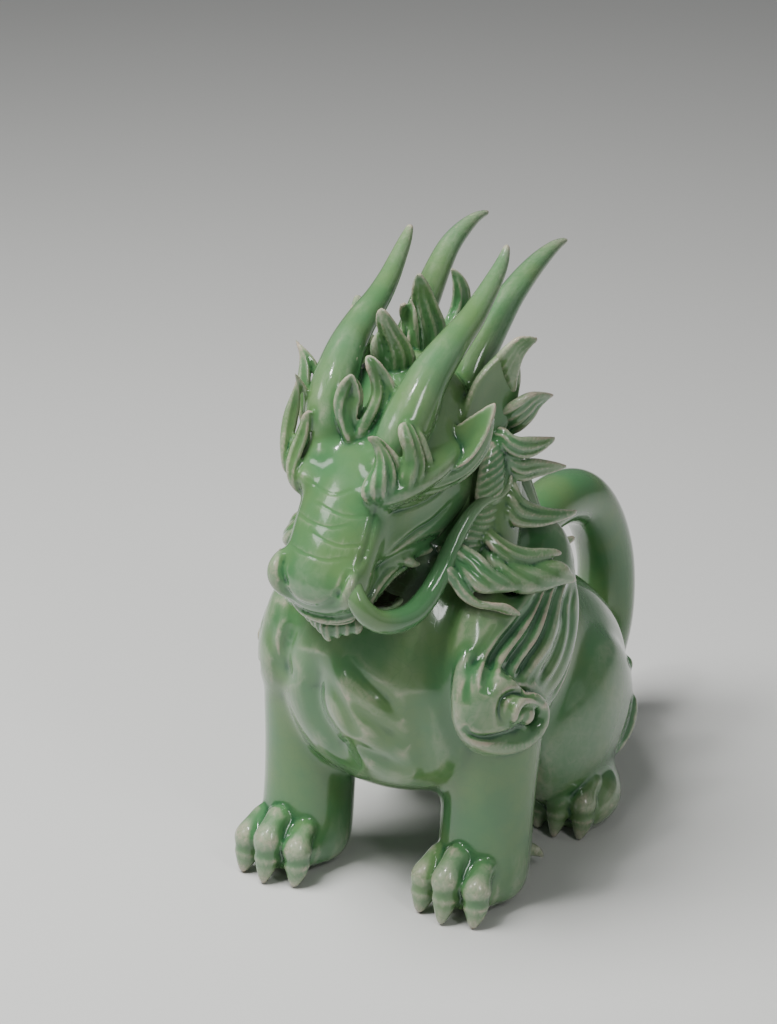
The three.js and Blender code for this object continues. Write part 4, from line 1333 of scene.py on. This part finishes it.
class GlazeSettings(bpy.types.PropertyGroup):
    """Colours of the glaze, some of which paint shade and highlight, and of the studio floor."""
    body: FloatVectorProperty(
        name="Body", description="Glaze on open surfaces", subtype="COLOR", min=0, max=1,
        default=(0.063, 0.176, 0.068),
    )
    warm: FloatVectorProperty(
        name="Warm", description="Glaze where it is mottled", subtype="COLOR", min=0, max=1,
        default=(0.1, 0.195, 0.068),
    )
    # Pale glaze where it runs thin, its brightness also a painted highlight on raised parts.
    thin: FloatVectorProperty(
        name="Thin", description="Glaze on raised edges", subtype="COLOR", min=0, max=1,
        default=(0.4, 0.465, 0.33),
    )
    # Dark glaze where it pools, also painted shade in broad hollows.
    pooled_and_shaded: FloatVectorProperty(
        name="Pooled", description="Glaze in hollows", subtype="COLOR", min=0, max=1,
        default=(0.02, 0.085, 0.032),
    )
    bare: FloatVectorProperty(
        name="Bare", description="Clay that shows on the sharpest edges", subtype="COLOR", min=0, max=1,
        default=(0.4, 0.29, 0.23),
    )
    crack: FloatVectorProperty(
        name="Crack", description="Lines of the crackle", subtype="COLOR", min=0, max=1,
        default=(0.06, 0.16, 0.07),
    )
    # Painted shade: this dark colour stands for the shade inside the mouth and on the throat under it.
    mouth: FloatVectorProperty(
        name="Mouth", description="Painted shade in and under the mouth", subtype="COLOR", min=0, max=1,
        default=(0.02, 0.022, 0.012),
    )
    floor: FloatVectorProperty(
        name="Floor", description="Studio floor", subtype="COLOR", min=0, max=1,
        default=(0.62, 0.62, 0.6),
    )
    crackle: FloatProperty(
        name="Crackle", description="Size of a cell of the crackle", unit="LENGTH", precision=4,
        min=0.002, max=0.02, default=0.007,
    )


def shared_glaze(context):
    """The one glaze that all the pieces wear."""
    return bpy.data.materials.get("celadon") or glaze_material(context.scene.qilin_glaze)


class QILIN_OT_body(bpy.types.Operator):
    """Models the trunk, legs, paws and the hair of the shoulders"""
    bl_idname = "qilin.body"
    bl_label = "Body"
    bl_options = {"REGISTER", "UNDO"}

    def execute(self, context):
        make_body(context.scene.qilin, shared_glaze(context))
        return {"FINISHED"}


class QILIN_OT_tail(bpy.types.Operator):
    """Models the arched tail and its tufts"""
    bl_idname = "qilin.tail"
    bl_label = "Tail"
    bl_options = {"REGISTER", "UNDO"}

    def execute(self, context):
        make_tail(context.scene.qilin, shared_glaze(context))
        return {"FINISHED"}


class QILIN_OT_head(bpy.types.Operator):
    """Models the head with its horns, ears, brows, forelock, crest and beard"""
    bl_idname = "qilin.head"
    bl_label = "Head"
    bl_options = {"REGISTER", "UNDO"}

    def execute(self, context):
        make_head(context.scene.qilin, shared_glaze(context))
        return {"FINISHED"}


class QILIN_OT_hair(bpy.types.Operator):
    """Models the ruff with its cheek locks and nape locks"""
    bl_idname = "qilin.hair"
    bl_label = "Hair"
    bl_options = {"REGISTER", "UNDO"}

    def execute(self, context):
        make_hair(context.scene.qilin, shared_glaze(context))
        return {"FINISHED"}


class QILIN_OT_whiskers(bpy.types.Operator):
    """Models the two long whiskers"""
    bl_idname = "qilin.whiskers"
    bl_label = "Whiskers"
    bl_options = {"REGISTER", "UNDO"}

    def execute(self, context):
        make_whiskers(context.scene.qilin, shared_glaze(context))
        return {"FINISHED"}


class QILIN_OT_stage(bpy.types.Operator):
    """Builds the floor, lights and camera"""
    bl_idname = "qilin.stage"
    bl_label = "Stage"
    bl_options = {"REGISTER", "UNDO"}

    def execute(self, context):
        build_stage(context.scene.qilin_glaze)
        return {"FINISHED"}


OPERATORS = (QILIN_OT_body, QILIN_OT_tail, QILIN_OT_head, QILIN_OT_hair, QILIN_OT_whiskers, QILIN_OT_stage)


class QILIN_PT_panel(bpy.types.Panel):
    """Lists the pieces of the qilin and their settings"""
    bl_label = "Celadon Qilin"
    bl_space_type = "VIEW_3D"
    bl_region_type = "UI"
    bl_category = "Qilin"

    def draw(self, context):
        column = self.layout.column()
        for group in (context.scene.qilin, context.scene.qilin_glaze):
            for name in group.bl_rna.properties.keys():
                if name not in ("rna_type", "name"):
                    column.prop(group, name)
        for operator in OPERATORS:
            column.operator(operator.bl_idname)


CLASSES = (QilinSettings, GlazeSettings, *OPERATORS, QILIN_PT_panel)


def register():
    for cls in CLASSES:
        bpy.utils.register_class(cls)
    bpy.types.Scene.qilin = PointerProperty(type=QilinSettings)
    bpy.types.Scene.qilin_glaze = PointerProperty(type=GlazeSettings)


def unregister():
    del bpy.types.Scene.qilin
    del bpy.types.Scene.qilin_glaze
    for cls in reversed(CLASSES):
        bpy.utils.unregister_class(cls)


def main():
    """Registers the add-on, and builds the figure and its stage."""
    register()
    bpy.ops.qilin.body()
    bpy.ops.qilin.tail()
    bpy.ops.qilin.head()
    bpy.ops.qilin.hair()
    bpy.ops.qilin.whiskers()
    bpy.ops.qilin.stage()


if __name__ == "__main__":
    main()
